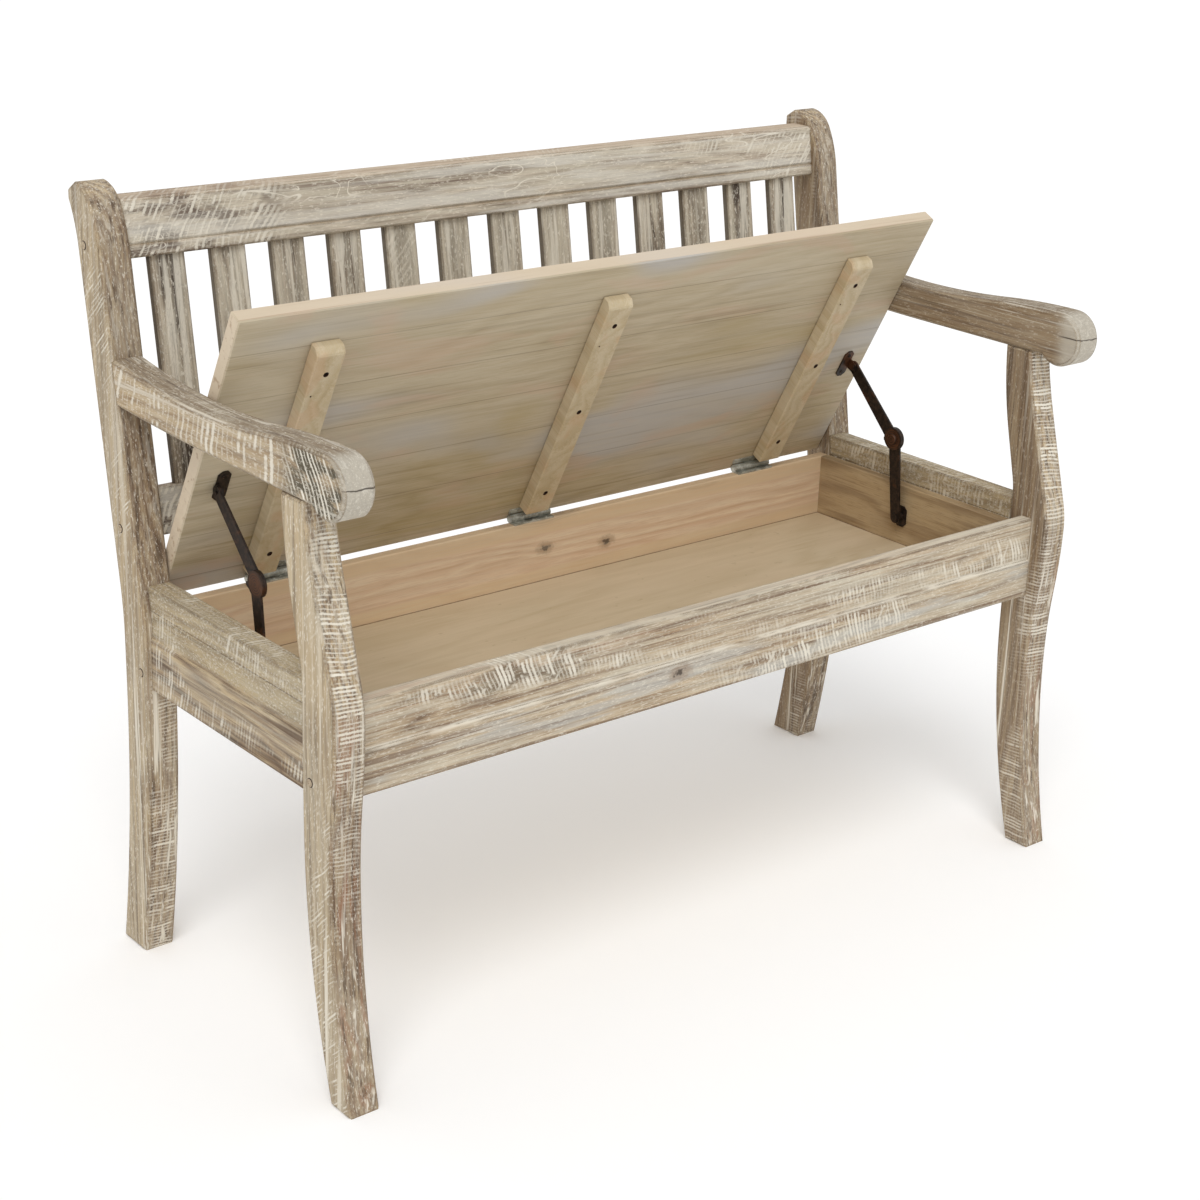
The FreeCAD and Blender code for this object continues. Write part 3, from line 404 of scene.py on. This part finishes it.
streaks = rail.noise(place, (2.4, 150, 150), 3, 0.6, 0.2, 22).between(0.55, 0.67)
colour = rail.mix(streaks * 0.7, colour, shade("6b5039"))
colour = rail.mix((scrubbed * 0.9).most(specks * 0.45).most(ridge * 0.7).most(top * 0.35), colour, CHALK)
colour = one_knot(rail, colour, *RAIL_KNOT_AT, RAIL_KNOT)
colour, soft = worn(rail, colour, place)
dress(["front_rail"], rail.surface(colour, 0.82, relief + scrubbed * 0.8, 0.0007, soft))


# Box
# Planed boards with a clear pinkish wash line the box, and a plain sanded board is its floor, let into
# grooves all round.
BACK_FACE, END_FACE = 0.152, 0.527
PLANK_FOOT, PLANK_WIDTH = 0.002, 0.0335
BOARD_KNOTS_AT, BOARD_KNOT = ((0.0185, 0.4182), (0.1238, 0.4073)), 0.005
lining = Finish("planed lining")
place = lining.grain("x")
colour, relief = board(lining, place, shade("caa786"), shade("dbbd9c"), shade("e6cfb0"), seed=21, rings=45)
plank_no = ((lining.spot("Z") - PLANK_FOOT) / PLANK_WIDTH).whole()
plank_tone = lining.node("TexWhiteNoise", {"noise_dimensions": "1D"}, {"W": plank_no})
colour = lining.mix(plank_tone * 0.5, colour, shade("d6af92"))
sapwood = lining.spot("Z").between(0.437, 0.441).most(lining.spot("Z").between(0.392, 0.387))
colour = lining.mix(sapwood * 0.6, colour, shade("dcc299"))
colour = knots(lining, place, colour, (3.4, 17, 17), 0.32, seed=26)
for knot_x, knot_z in BOARD_KNOTS_AT:
    colour = one_knot(lining, colour, knot_x, knot_z, BOARD_KNOT)
colour = milk(lining, place, colour, 0.2, seed=21)
dress(["back_board"], lining.surface(colour, 0.62, relief, 0.0002))

end_lining = Finish("planed end lining")
place = end_lining.grain("y")
colour, relief = board(end_lining, place, shade("7b6240"), shade("9a8160"), shade("b79f7a"), seed=24, rings=40)
colour = knots(end_lining, place, colour, (5, 17, 17), 0.35, seed=25)
colour = milk(end_lining, place, colour, 0.12, seed=24)
dress(["box_side_left", "box_side_right"], end_lining.surface(colour, 0.62, relief, 0.0002))

bottom = Finish("sanded floor board")
place = bottom.grain("x")
colour, relief = board(bottom, place, shade("bca888"), shade("c2b091"), shade("c9b89b"), seed=27, rings=20)
cloud = bottom.noise(place, (4, 9, 9), 3, 0.5, 0.8, 28).between(0.3, 0.7)
colour = bottom.mix(cloud * 0.5, colour, shade("d2bea2"))
speck = bottom.noise(place, (60, 90, 90), 2, 0.6, 0.0, 29).between(0.66, 0.72)
colour = bottom.mix(speck * 0.25, colour, shade("96805e"))
seam = (bottom.spot("Y") - BACK_FACE).between(-0.0022, -0.0008).most(
    (abs(bottom.spot("X")) - END_FACE).between(-0.0016, -0.0006))
colour = bottom.mix(seam * 0.8, colour, shade("6d4c30"))
dress(["box_floor"], bottom.surface(colour, 0.6, relief, 0.00012))


# Backrest
# Thirteen slats between a crest rail and a lower rail, weathered grey, with dark hearts and a chalky
# bead along the crest's lower edge. Everything leans back with the posts.
LEAN = 9.5
crest = Finish("whitewashed crest")
place = crest.grain("x", LEAN)
colour, relief = board(crest, place, shade("63503f"), shade("b3a492"), shade("d6cab6"), seed=31, rings=55)
purple = crest.noise(place, (2.4, 48, 48), 4, 0.6, 0.4, 32).between(0.52, 0.66)
colour = crest.mix(purple * 0.8, colour, shade("6b564a"))
colour = milk(crest, place, colour, 0.95, seed=31)
slashes = strokes(crest, place, 0.0082, slant=-0.55, width=0.5, share=0.75, seed=33)
left_end = crest.spot("X").between(-0.3, -0.38)
slashes = slashes * (patches(crest, place, (3, 12, 12), 0.54, 0.62, 34)).most(left_end)
dark_gaps = left_end * patches(crest, place, (20, 60, 60), 0.42, 0.6, 35)
colour = crest.mix(dark_gaps * 0.75, colour, shade("54433a"))
sweep = crest.noise(place, (11, 30, 30), 1, 0.4, 1.4, 36)
sweep = abs(sweep - 0.52).between(0.018, 0.006) * patches(crest, place, (3, 8, 8), 0.52, 0.6, 37)
specks = flecks(crest, place, 0.55, 0.64, 12)
top = crest.facing("Z").between(0.7, 0.9)
colour = crest.mix(top * 0.55, colour, shade("b39a80"))
veil = crest.noise(place, (2.6, 60, 60), 4, 0.6, 0.4, 38).between(0.44, 0.6)
colour = crest.mix(veil * 0.62 * (1 - top), colour, shade("dedacf"))
colour = crest.mix((slashes * 0.95).most(sweep * 0.85).most(specks * 0.6) * (1 - top * 0.6), colour, CHALK)
colour, soft = worn(crest, colour, place)
dress(["crest_rail", "lower_back_rail"],
      crest.surface(colour, 0.84, relief + slashes * 0.6, 0.0007, soft))

PITCH_OF_SLATS = 0.0810
slat = Finish("weathered slat")
place = slat.grain("z", LEAN)
colour, relief = board(slat, place, shade("594a3b"), shade("b0a18d"), shade("d3c9b5"), seed=36)
slat_count = slat.spot("X") / PITCH_OF_SLATS + 0.5
slat_no = slat_count.whole()
own = slat.node("TexWhiteNoise", {"noise_dimensions": "1D"}, {"W": slat_no + 0.37})
second = slat.node("TexWhiteNoise", {"noise_dimensions": "1D"}, {"W": slat_no + 20.11})
middle = 1 - abs(slat_count.fraction() - 0.5) * 4
blot = slat.noise(place, (6, 30, 30), 4, 0.65, 0.5, 37).between(0.4, 0.6)
colour = milk(slat, place, colour, own * 0.6 + 0.45, seed=36)
heart = middle.between(0.0, 0.6) * blot * (own.between(0.75, 0.25) * 0.5 + 0.45)
colour = slat.mix(heart, colour, shade("3d3026"))
streaked = strokes(slat, place, 0.011, slant=-1.1, width=0.45, share=0.7, seed=39)
colour = slat.mix(streaked * second.between(0.72, 0.8) * 0.8, colour, CHALK)
speckle = flecks(slat, place, 0.53, 0.62, 38, (160, 420, 420))
brushed = slat.noise(place, (4, 90, 90), 4, 0.65, 0.3, 40).between(0.5, 0.62)
colour = slat.mix((speckle * 0.7).most(brushed * 0.75), colour, CHALK)
# The slats' side faces, which look at their neighbours across the gaps, are painted dark: painted shade
# between the slats.
gap_side_shade = abs(slat.facing("X")).between(0.6, 0.85)
colour = slat.mix(gap_side_shade * 0.85, colour, shade("483a27"))
colour, soft = worn(slat, colour, place, 0.5)
dress([f"back_slat_{number:02d}" for number in range(1, 14)],
      slat.surface(colour, 0.85, relief + speckle * 0.5, 0.0006, soft))


# Arms
# Scroll-nosed arms of the same plank, notched to the rear posts and resting on the front ones. The
# white lies in the saw's marks on their outer faces, closest near the nose, whose end has a crack.
CRACK_HEIGHT = 0.722
arm = Finish("whitewashed arm")
place = arm.grain("y")
colour, relief = board(arm, place, shade("6d563f"), shade("a68e6f"), shade("c4ae8b"), seed=41)
hand = arm.spot("X").between(-0.01, 0.01) * 2 - 1
outside = (arm.facing("X") * hand).between(0.6, 0.85)
inside = (arm.facing("X") * hand).between(-0.6, -0.85)
along_top = (1 - outside) * (1 - inside)
colour = arm.mix(inside * 0.7, colour, shade("776148"))
colour = arm.mix(outside * 0.4, colour, shade("9c8565"))
colour = arm.mix(along_top * 0.75, colour, shade("6b5b49"))
colour = milk(arm, place, colour, 0.42 - inside * 0.15, seed=41)
reach = arm.spot("Y")
near_nose = reach.between(-0.15, -0.2)
gaps = patches(arm, place, (30, 60, 60), 0.32, 0.5, 44) * near_nose * outside
colour = arm.mix(gaps * 0.85, colour, shade("3d3a2b"))
wide = strokes(arm, place, 0.0105, slant=0.12, width=0.46, share=0.7, seed=42)
close = strokes(arm, place, 0.0075, slant=-0.5, width=0.5, share=0.9, seed=43)
marks = ((wide * (1 - near_nose) * 0.8).most(close * near_nose)) * outside
specks = flecks(arm, place, 0.55, 0.65, 46)
drips = arm.noise(place, (3, 140, 140), 3, 0.65, 0.3, 49).between(0.56, 0.65)
colour = arm.mix(marks.most(specks * 0.6 * (1 - inside * 0.5)).most(drips * 0.5), colour, CHALK)
front_end = reach.between(-0.235, -0.262) * (1 - outside)
colour = arm.mix(front_end * 0.6, colour, shade("c9c4b7"))
rungs = strokes(arm, place, 0.0045, width=0.55, share=0.6, seed=45)
rungs = rungs * patches(arm, place, (5, 12, 12), 0.45, 0.6, 45) * along_top
colour = arm.mix(rungs * 0.4, colour, CHALK)
crack_at = arm.spot("Z") - CRACK_HEIGHT + (arm.noise(place, (8, 40, 40), 2, 0.5, 0.0, 47) - 0.5) * 0.012
crack = abs(crack_at).between(0.0012, 0.0004) * front_end
colour = arm.mix(crack * 0.85, colour, DEEP_BROWN_AND_SHADE)
streaks = arm.noise(place, (3, 190, 190), 3, 0.6, 0.2, 48).between(0.53, 0.66)
streaks = streaks * (1 - outside) * (1 - front_end)
colour = arm.mix(streaks * 0.55, colour, shade("54443a"))
colour, soft = worn(arm, colour, place)
dress(["arm_left", "arm_right"], arm.surface(colour, 0.82, relief + marks * 0.8 + rungs * 0.4, 0.0007, soft))


# Lid
# Boards glued edge to edge, planed and thinly greyed below, whitewashed on the seat's upper face.
# It stands open at rest, turned back about the hinges' line.
OPEN = 63.0
LID_BOARD = 0.068
HINGE_LINE = Vector((0, 0.1645, 0.4645))
lid = Finish("washed lid board")
place = lid.grain("x", OPEN)
across = lid.parts(place)[2]
colour, relief = board(lid, place, shade("a39374"), shade("b5a689"), shade("c1b398"), seed=51, rings=40)
line = lid.noise(place, (5, 420, 420), 3, 0.7, 0.0, 57).between(0.56, 0.66)
colour = lid.mix(line * 0.3, colour, shade("8a7453"))
board_at = across / LID_BOARD + 0.3
tone = lid.node("TexWhiteNoise", {"noise_dimensions": "1D"}, {"W": board_at.whole() + 3.0})
colour = lid.mix(tone * 0.4, colour, shade("c2b498"))
yellow = lid.noise(place, (2.6, 6, 6), 2, 0.5, 0.6, 53).between(0.5, 0.66)
grey = lid.noise(place, (2.0, 6, 6), 2, 0.5, 0.6, 54).between(0.48, 0.66)
colour = lid.mix(yellow * 0.45, colour, shade("a9955f"))
colour = lid.mix(grey * 0.8, colour, shade("b7b6b6"))
blush = lid.noise(place, (5, 16, 16), 3, 0.6, 0.6, 59).between(0.52, 0.66)
colour = lid.mix(blush * 0.4, colour, shade("c6a78e"))
streaks = lid.noise(place, (2.2, 120, 120), 3, 0.6, 0.4, 56).between(0.56, 0.68)
colour = lid.mix(streaks * 0.28, colour, shade("7f6d52"))
seam = abs(board_at.fraction() - 0.5).between(0.488, 0.496)
colour = lid.mix(seam * 0.5, colour, shade("6f5f49"))
colour = knots(lid, place, colour, (3, 13, 13), 0.09, seed=55)
colour = milk(lid, place, colour, 0.3, seed=51)
edges = abs(lid.facing("X")).between(0.6, 0.85)
rims = edges.most(lid.facing("Z").between(0.6, 0.8))
colour = lid.mix(rims * 0.7, colour, shade("d8c6ae"))
colour = lid.mix(rims * streaks * 0.5, colour, shade("94714f"))
upper_side = lid.facing("Y").between(0.6, 0.8)
colour = lid.mix(upper_side * 0.6, colour, shade("9c8467"))
colour = lid.mix(upper_side * streaks * 0.5, colour, shade("6b523b"))
sawn = strokes(lid, place, 0.0062, slant=0.2, width=0.5, share=0.8, seed=60)
sawn = sawn * patches(lid, place, (3, 9, 9), 0.5, 0.62, 60)
wiped = lid.noise(place, (3, 130, 130), 4, 0.65, 0.3, 61).between(0.48, 0.62)
colour = lid.mix(sawn.most(wiped * 0.7) * upper_side * 0.85, colour, CHALK)
dress(["lid_panel"], lid.surface(colour, 0.65, relief, 0.0003))


# Battens
# Three planed battens with bevelled ends stiffen the lid. Each is held by three black screws, sunk in
# their counterbores, and a nail that was pulled out has left a small hole.
SCREW_ROW = (-0.0505, -0.1905, -0.3305)
BATTENS_AT = {"left": -0.417, "middle": 0.0, "right": 0.417}
SCREW_SINK, BATTEN_FACE = 0.0022, -0.0122
SCREW_BORE, NAIL_BORE, NAIL_SINK = 0.0036, 0.0012, 0.004
NAIL_ASIDE, NAIL_UP = -0.012, 0.03


def on_lid(x, y, z):
    """A place given on the shut lid, from the hinge line, as it is on the open one."""
    return HINGE_LINE + Matrix.Rotation(-math.radians(OPEN), 3, "X") @ Vector((x, y, z))


batten = Finish("planed batten")
place = batten.grain("z", OPEN)
colour, relief = board(batten, place, shade("b5a17c"), shade("c2b08d"), shade("cdbd9e"), seed=57, rings=30)
colour = milk(batten, place, colour, 0.3, seed=57)
peach = batten.noise(place, (14, 30, 30), 2, 0.5, 0.0, 58).between(0.5, 0.66)
colour = batten.mix(peach * 0.35, colour, shade("c9a27c"))
batten_wood = batten.surface(colour, 0.62, relief, 0.00025)
# The walls of the screw and nail bores are coloured near black: painted shade in the holes.
hole_shade = Finish("shaded hole")
hole_tone = hole_shade.noise(hole_shade.node("TexCoord", out="Object"), (300, 300, 300), 2)
hole_wall = hole_shade.surface(hole_shade.mix(hole_tone, shade("2a1710"), shade("57301f")), 0.8)
for name, x in BATTENS_AT.items():
    cutters = bmesh.new()
    holes = [(0, y, SCREW_BORE, SCREW_SINK) for y in SCREW_ROW]
    holes.append((NAIL_ASIDE, SCREW_ROW[2] + NAIL_UP, NAIL_BORE, NAIL_SINK))
    for aside, y, radius, sink in holes:
        middle = on_lid(x + aside, y, BATTEN_FACE)
        axis = Matrix.Rotation(-math.radians(OPEN), 4, "X")
        bmesh.ops.create_cone(cutters, cap_ends=True, segments=24, radius1=radius, radius2=radius,
                              depth=sink * 2, matrix=Matrix.Translation(middle) @ axis)
    cutter_mesh = bpy.data.meshes.new("cutters")
    cutters.to_mesh(cutter_mesh)
    cutters.free()
    cutter_mesh.materials.append(hole_wall)
    cutter = bpy.data.objects.new("cutters", cutter_mesh)
    bpy.context.scene.collection.objects.link(cutter)
    whole = bmesh.new()
    whole.from_mesh(nodes["lid_batten_" + name].data)
    bmesh.ops.remove_doubles(whole, verts=whole.verts, dist=1e-6)
    bmesh.ops.recalc_face_normals(whole, faces=whole.faces)
    mesh = bpy.data.meshes.new("bored_batten_" + name)
    whole.to_mesh(mesh)
    whole.free()
    mesh.materials.append(batten_wood)
    piece = bpy.data.objects.new("bored_batten_" + name, mesh)
    bpy.context.scene.collection.objects.link(piece)
    bore = piece.modifiers.new("bore", "BOOLEAN")
    bore.object, bore.operation, bore.solver = cutter, "DIFFERENCE", "EXACT"
    bore.material_mode = "TRANSFER"
    piece.data = bpy.data.meshes.new_from_object(piece.evaluated_get(bpy.context.evaluated_depsgraph_get()))
    piece.modifiers.clear()
    bpy.data.objects.remove(cutter)
    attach(piece, "lid")
    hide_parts("lid_batten_" + name)


# Screws and plugs
# Cross-headed screws hold the battens, hinges and stays, and round wooden plugs hide the frame's
# bolts. Each kind is one turned head, set at all its places.
HEAD_SIDES, RIM_TAPER = 20, 0.84


def turned_head():
    """A round head with a chamfered rim and, where it has a driver slot, a cross sunk in it."""
    group = bpy.data.node_groups.new("turned head", "GeometryNodeTree")
    for label, kind in (("Places", "NodeSocketGeometry"), ("Radius", "NodeSocketFloat"),
                        ("Depth", "NodeSocketFloat"), ("Rim", "NodeSocketFloat"),
                        ("Slot", "NodeSocketFloat"), ("Finish", "NodeSocketMaterial")):
        group.interface.new_socket(label, in_out="INPUT", socket_type=kind)
    group.interface.new_socket("Heads", in_out="OUTPUT", socket_type="NodeSocketGeometry")
    net = Net(group, "GeometryNode")

    def given(label):
        return net.node("NodeGroupInput", out=label)

    blank = net.node("MeshCylinder", None, {"Vertices": HEAD_SIDES, "Radius": given("Radius"),
                                            "Depth": given("Depth")})
    rim = net.node("ExtrudeMesh", None, {"Mesh": blank, "Selection": blank.also("Top"), "Individual": False,
                                         "Offset Scale": given("Rim")})
    domed = net.node("ScaleElements", None, {"Geometry": rim, "Selection": rim.also("Top"),
                                             "Scale": RIM_TAPER})
    slot = given("Slot")
    bars = []
    for turn in (0, math.pi / 2):
        bar = net.node("MeshCube", None, {"Size": net.node("ShaderNodeCombineXYZ", None, {
            0: slot * 4.2, 1: slot, 2: slot * 1.6})})
        lift = net.node("ShaderNodeCombineXYZ", None, {2: given("Depth") * 0.5 + given("Rim")})
        bars.append(net.node("Transform", None, {"Geometry": bar, "Translation": lift,
                                                 "Rotation": (0, 0, turn)}))
    cross = net.node("MeshBoolean", {"operation": "DIFFERENCE"}, {"Mesh 1": domed, "Mesh 2": bars})
    has_slot = net.node("FunctionNodeCompare", {"operation": "GREATER_THAN"}, {0: slot, 1: 0.0})
    head = net.node("Switch", {"input_type": "GEOMETRY"}, {
        "Switch": has_slot, "False": domed, "True": cross})
    axis = net.node("InputNamedAttribute", {"data_type": "FLOAT_VECTOR"}, {"Name": "axis"})
    turned = net.node("FunctionNodeAlignRotationToVector", {"axis": "Z"}, {"Vector": axis})
    spun = net.node("InstanceOnPoints", None, {"Points": given("Places"), "Instance": head,
                                               "Rotation": turned})
    solid = net.node("RealizeInstances", None, {"Geometry": spun})
    net.node("NodeGroupOutput", None, {"Heads": net.node("SetMaterial", None, {
        "Geometry": solid, "Material": given("Finish")})})
    return group


HEAD = turned_head()


def set_heads(name, body, slot, places, finish, radius, depth, rim, cross):
    """Turned heads at places, each a point on the surface and the way that the head looks."""
    mesh = bpy.data.meshes.new(name)
    mesh.from_pydata([at for at, axis in places], [], [])
    axes = mesh.attributes.new("axis", "FLOAT_VECTOR", "POINT")
    for item, (at, axis) in zip(axes.data, places):
        item.vector = axis
    piece = bpy.data.objects.new(name, mesh)
    bpy.context.scene.collection.objects.link(piece)
    heads = piece.modifiers.new("heads", "NODES")
    heads.node_group = HEAD
    sizes = {"Radius": radius, "Depth": depth, "Rim": rim, "Slot": cross, "Finish": finish}
    for item in HEAD.interface.items_tree:
        if item.in_out == "INPUT" and item.name in sizes:
            heads[item.identifier] = sizes[item.name]
    piece.data = bpy.data.meshes.new_from_object(piece.evaluated_get(bpy.context.evaluated_depsgraph_get()))
    piece.modifiers.clear()
    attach(piece, body)


plug = Finish("end grain plug")
place = plug.node("TexCoord", out="Object")
fibre = plug.noise(place, (900, 900, 900), 3, 0.7, 0.0, 81)
# Only the plug's flat end keeps the wood colour. Its proud rim and sides are painted dark, as painted shade of
# a groove round each plug.
face_on = abs(plug.facing("X")).between(0.9, 0.99)
colour = plug.mix(fibre.between(0.4, 0.6), shade("8d7860"), shade("c0b096"))
colour = plug.mix(face_on, DEEP_BROWN_AND_SHADE, colour)
plug_wood = plug.surface(colour, 0.85, fibre, 0.0004)
OUTER_FACE = 0.580
PLUGS_AT = ((0.2488, 0.871), (0.191, 0.550), (0.155, 0.381), (-0.211, 0.381))
PLUG = {"radius": 0.0055, "depth": 0.002, "rim": 0.0007, "cross": 0.0}
for side, hand in (("left", -1), ("right", 1)):
    set_heads("plugs_" + side, "frame", "whitewashed_wood",
              [(Vector((hand * (OUTER_FACE - PLUG["depth"] / 2), y, z)), Vector((hand, 0, 0)))
               for y, z in PLUGS_AT], plug_wood, **PLUG)

black = Finish("black screw")
place = black.node("TexCoord", out="Object")
rub = black.noise(place, (500, 500, 500), 3, 0.6, 0.0, 83)
colour = black.mix(rub.between(0.45, 0.65), shade("1d1714"), shade("4a3a30"))
black_screw = black.surface(colour, rub * 0.3 + 0.3, rub, 0.0001, Metallic=0.7)
LID_DOWN = Matrix.Rotation(-math.radians(OPEN), 3, "X") @ Vector((0, 0, -1))
BATTEN_SCREW = {"radius": 0.0030, "depth": 0.001, "rim": 0.0004, "cross": 0.0008}
set_heads("batten_screws", "lid", "antique_iron",
          [(on_lid(x, y, BATTEN_FACE + SCREW_SINK), LID_DOWN) for x in BATTENS_AT.values() for y in SCREW_ROW],
          black_screw, **BATTEN_SCREW)
LID_PLATE_X, LID_PLATE_Y, LID_PLATE_FACE, LID_PLATE_HOLE = 0.501, -0.166, 0.0038, 0.01485
LID_PLATE_SCREW = {"radius": 0.0028, "depth": 0.001, "rim": 0.0006, "cross": 0.0008}
set_heads("lid_plate_screws", "lid", "antique_iron",
          [(on_lid(hand * LID_PLATE_X, LID_PLATE_Y + aside, LID_PLATE_FACE), LID_DOWN)
           for hand in (-1, 1) for aside in (-LID_PLATE_HOLE, LID_PLATE_HOLE)],
          black_screw, **LID_PLATE_SCREW)


# Hinges
# Three small butt hinges of dull zinc-plated steel, one leaf on the back board's top and the other on
# the lid, each held by three screws.
zinc = Finish("dull zinc")
place = zinc.node("TexCoord", out="Object")
bloom = zinc.noise(place, (90, 90, 90), 3, 0.6, 0.0, 61)
fine = zinc.noise(place, (700, 700, 700), 2, 0.6, 0.0, 62)
colour = zinc.mix(bloom.between(0.4, 0.65), shade("96968b"), shade("c3c3b9"))
colour = zinc.mix(fine.between(0.56, 0.66) * 0.5, colour, shade("5b5240"))
zinc_plate = zinc.surface(colour, bloom * 0.3 + 0.32, fine, 0.0001, Metallic=0.45)
dress([f"hinge_{leaf}_leaf_{at}" for leaf in ("box", "lid") for at in ("left", "middle", "right")],
      zinc_plate)
HINGES_AT, HINGE_HOLES = (-0.397, 0.0, 0.397), (-0.0217, 0.0, 0.0217)
HOLE_FROM_LINE, LEAF_FACE = -0.0089, 0.0038
HINGE_SCREW = {"radius": 0.0022, "depth": 0.0006, "rim": 0.0004, "cross": 0.0006}
set_heads("hinge_box_screws", "frame", "zinc_steel",
          [(HINGE_LINE + Vector((at + aside, HOLE_FROM_LINE, -LEAF_FACE)), Vector((0, 0, 1)))
           for at in HINGES_AT for aside in HINGE_HOLES], zinc_plate, **HINGE_SCREW)
set_heads("hinge_lid_screws", "lid", "zinc_steel",
          [(on_lid(at + aside, HOLE_FROM_LINE, LEAF_FACE), LID_DOWN)
           for at in HINGES_AT for aside in HINGE_HOLES], zinc_plate, **HINGE_SCREW)


# Stays
# Two folding stays of blackened iron, riveted at the foot plate, the knuckle and the lid plate, and
# rusty at the knuckle where they rub.
iron = Finish("blackened iron")
place = iron.node("TexCoord", out="Object")
scale = iron.noise(place, (160, 160, 160), 4, 0.65, 0.0, 71)
stain = iron.noise(place, (28, 28, 28), 3, 0.6, 0.0, 72)
colour = iron.mix(scale.between(0.42, 0.62), shade("221a15"), shade("3c2e25"))
colour = iron.mix(stain.between(0.52, 0.66) * 0.6, colour, shade("6b4226"))
KNUCKLE = (-0.0001, 0.5263)
off_y, off_z = iron.spot("Y") - KNUCKLE[0], iron.spot("Z") - KNUCKLE[1]
squared = off_y * off_y + off_z * off_z
from_knuckle = squared.math("SQRT", squared)
ring = abs((from_knuckle * 330).fraction() - 0.5) * 2
rust = from_knuckle.between(0.0165, 0.012) * (ring * 0.55 + 0.1)
colour = iron.mix(rust, colour, shade("6e4326"))
iron_skin = iron.surface(colour, scale * 0.3 + 0.38, scale, 0.0002, Metallic=0.55)
dress([f"stay_{piece}_{side}" for piece in ("lid_plate", "upper_arm", "lower_arm", "foot_plate")
       for side in ("left", "right")], iron_skin)
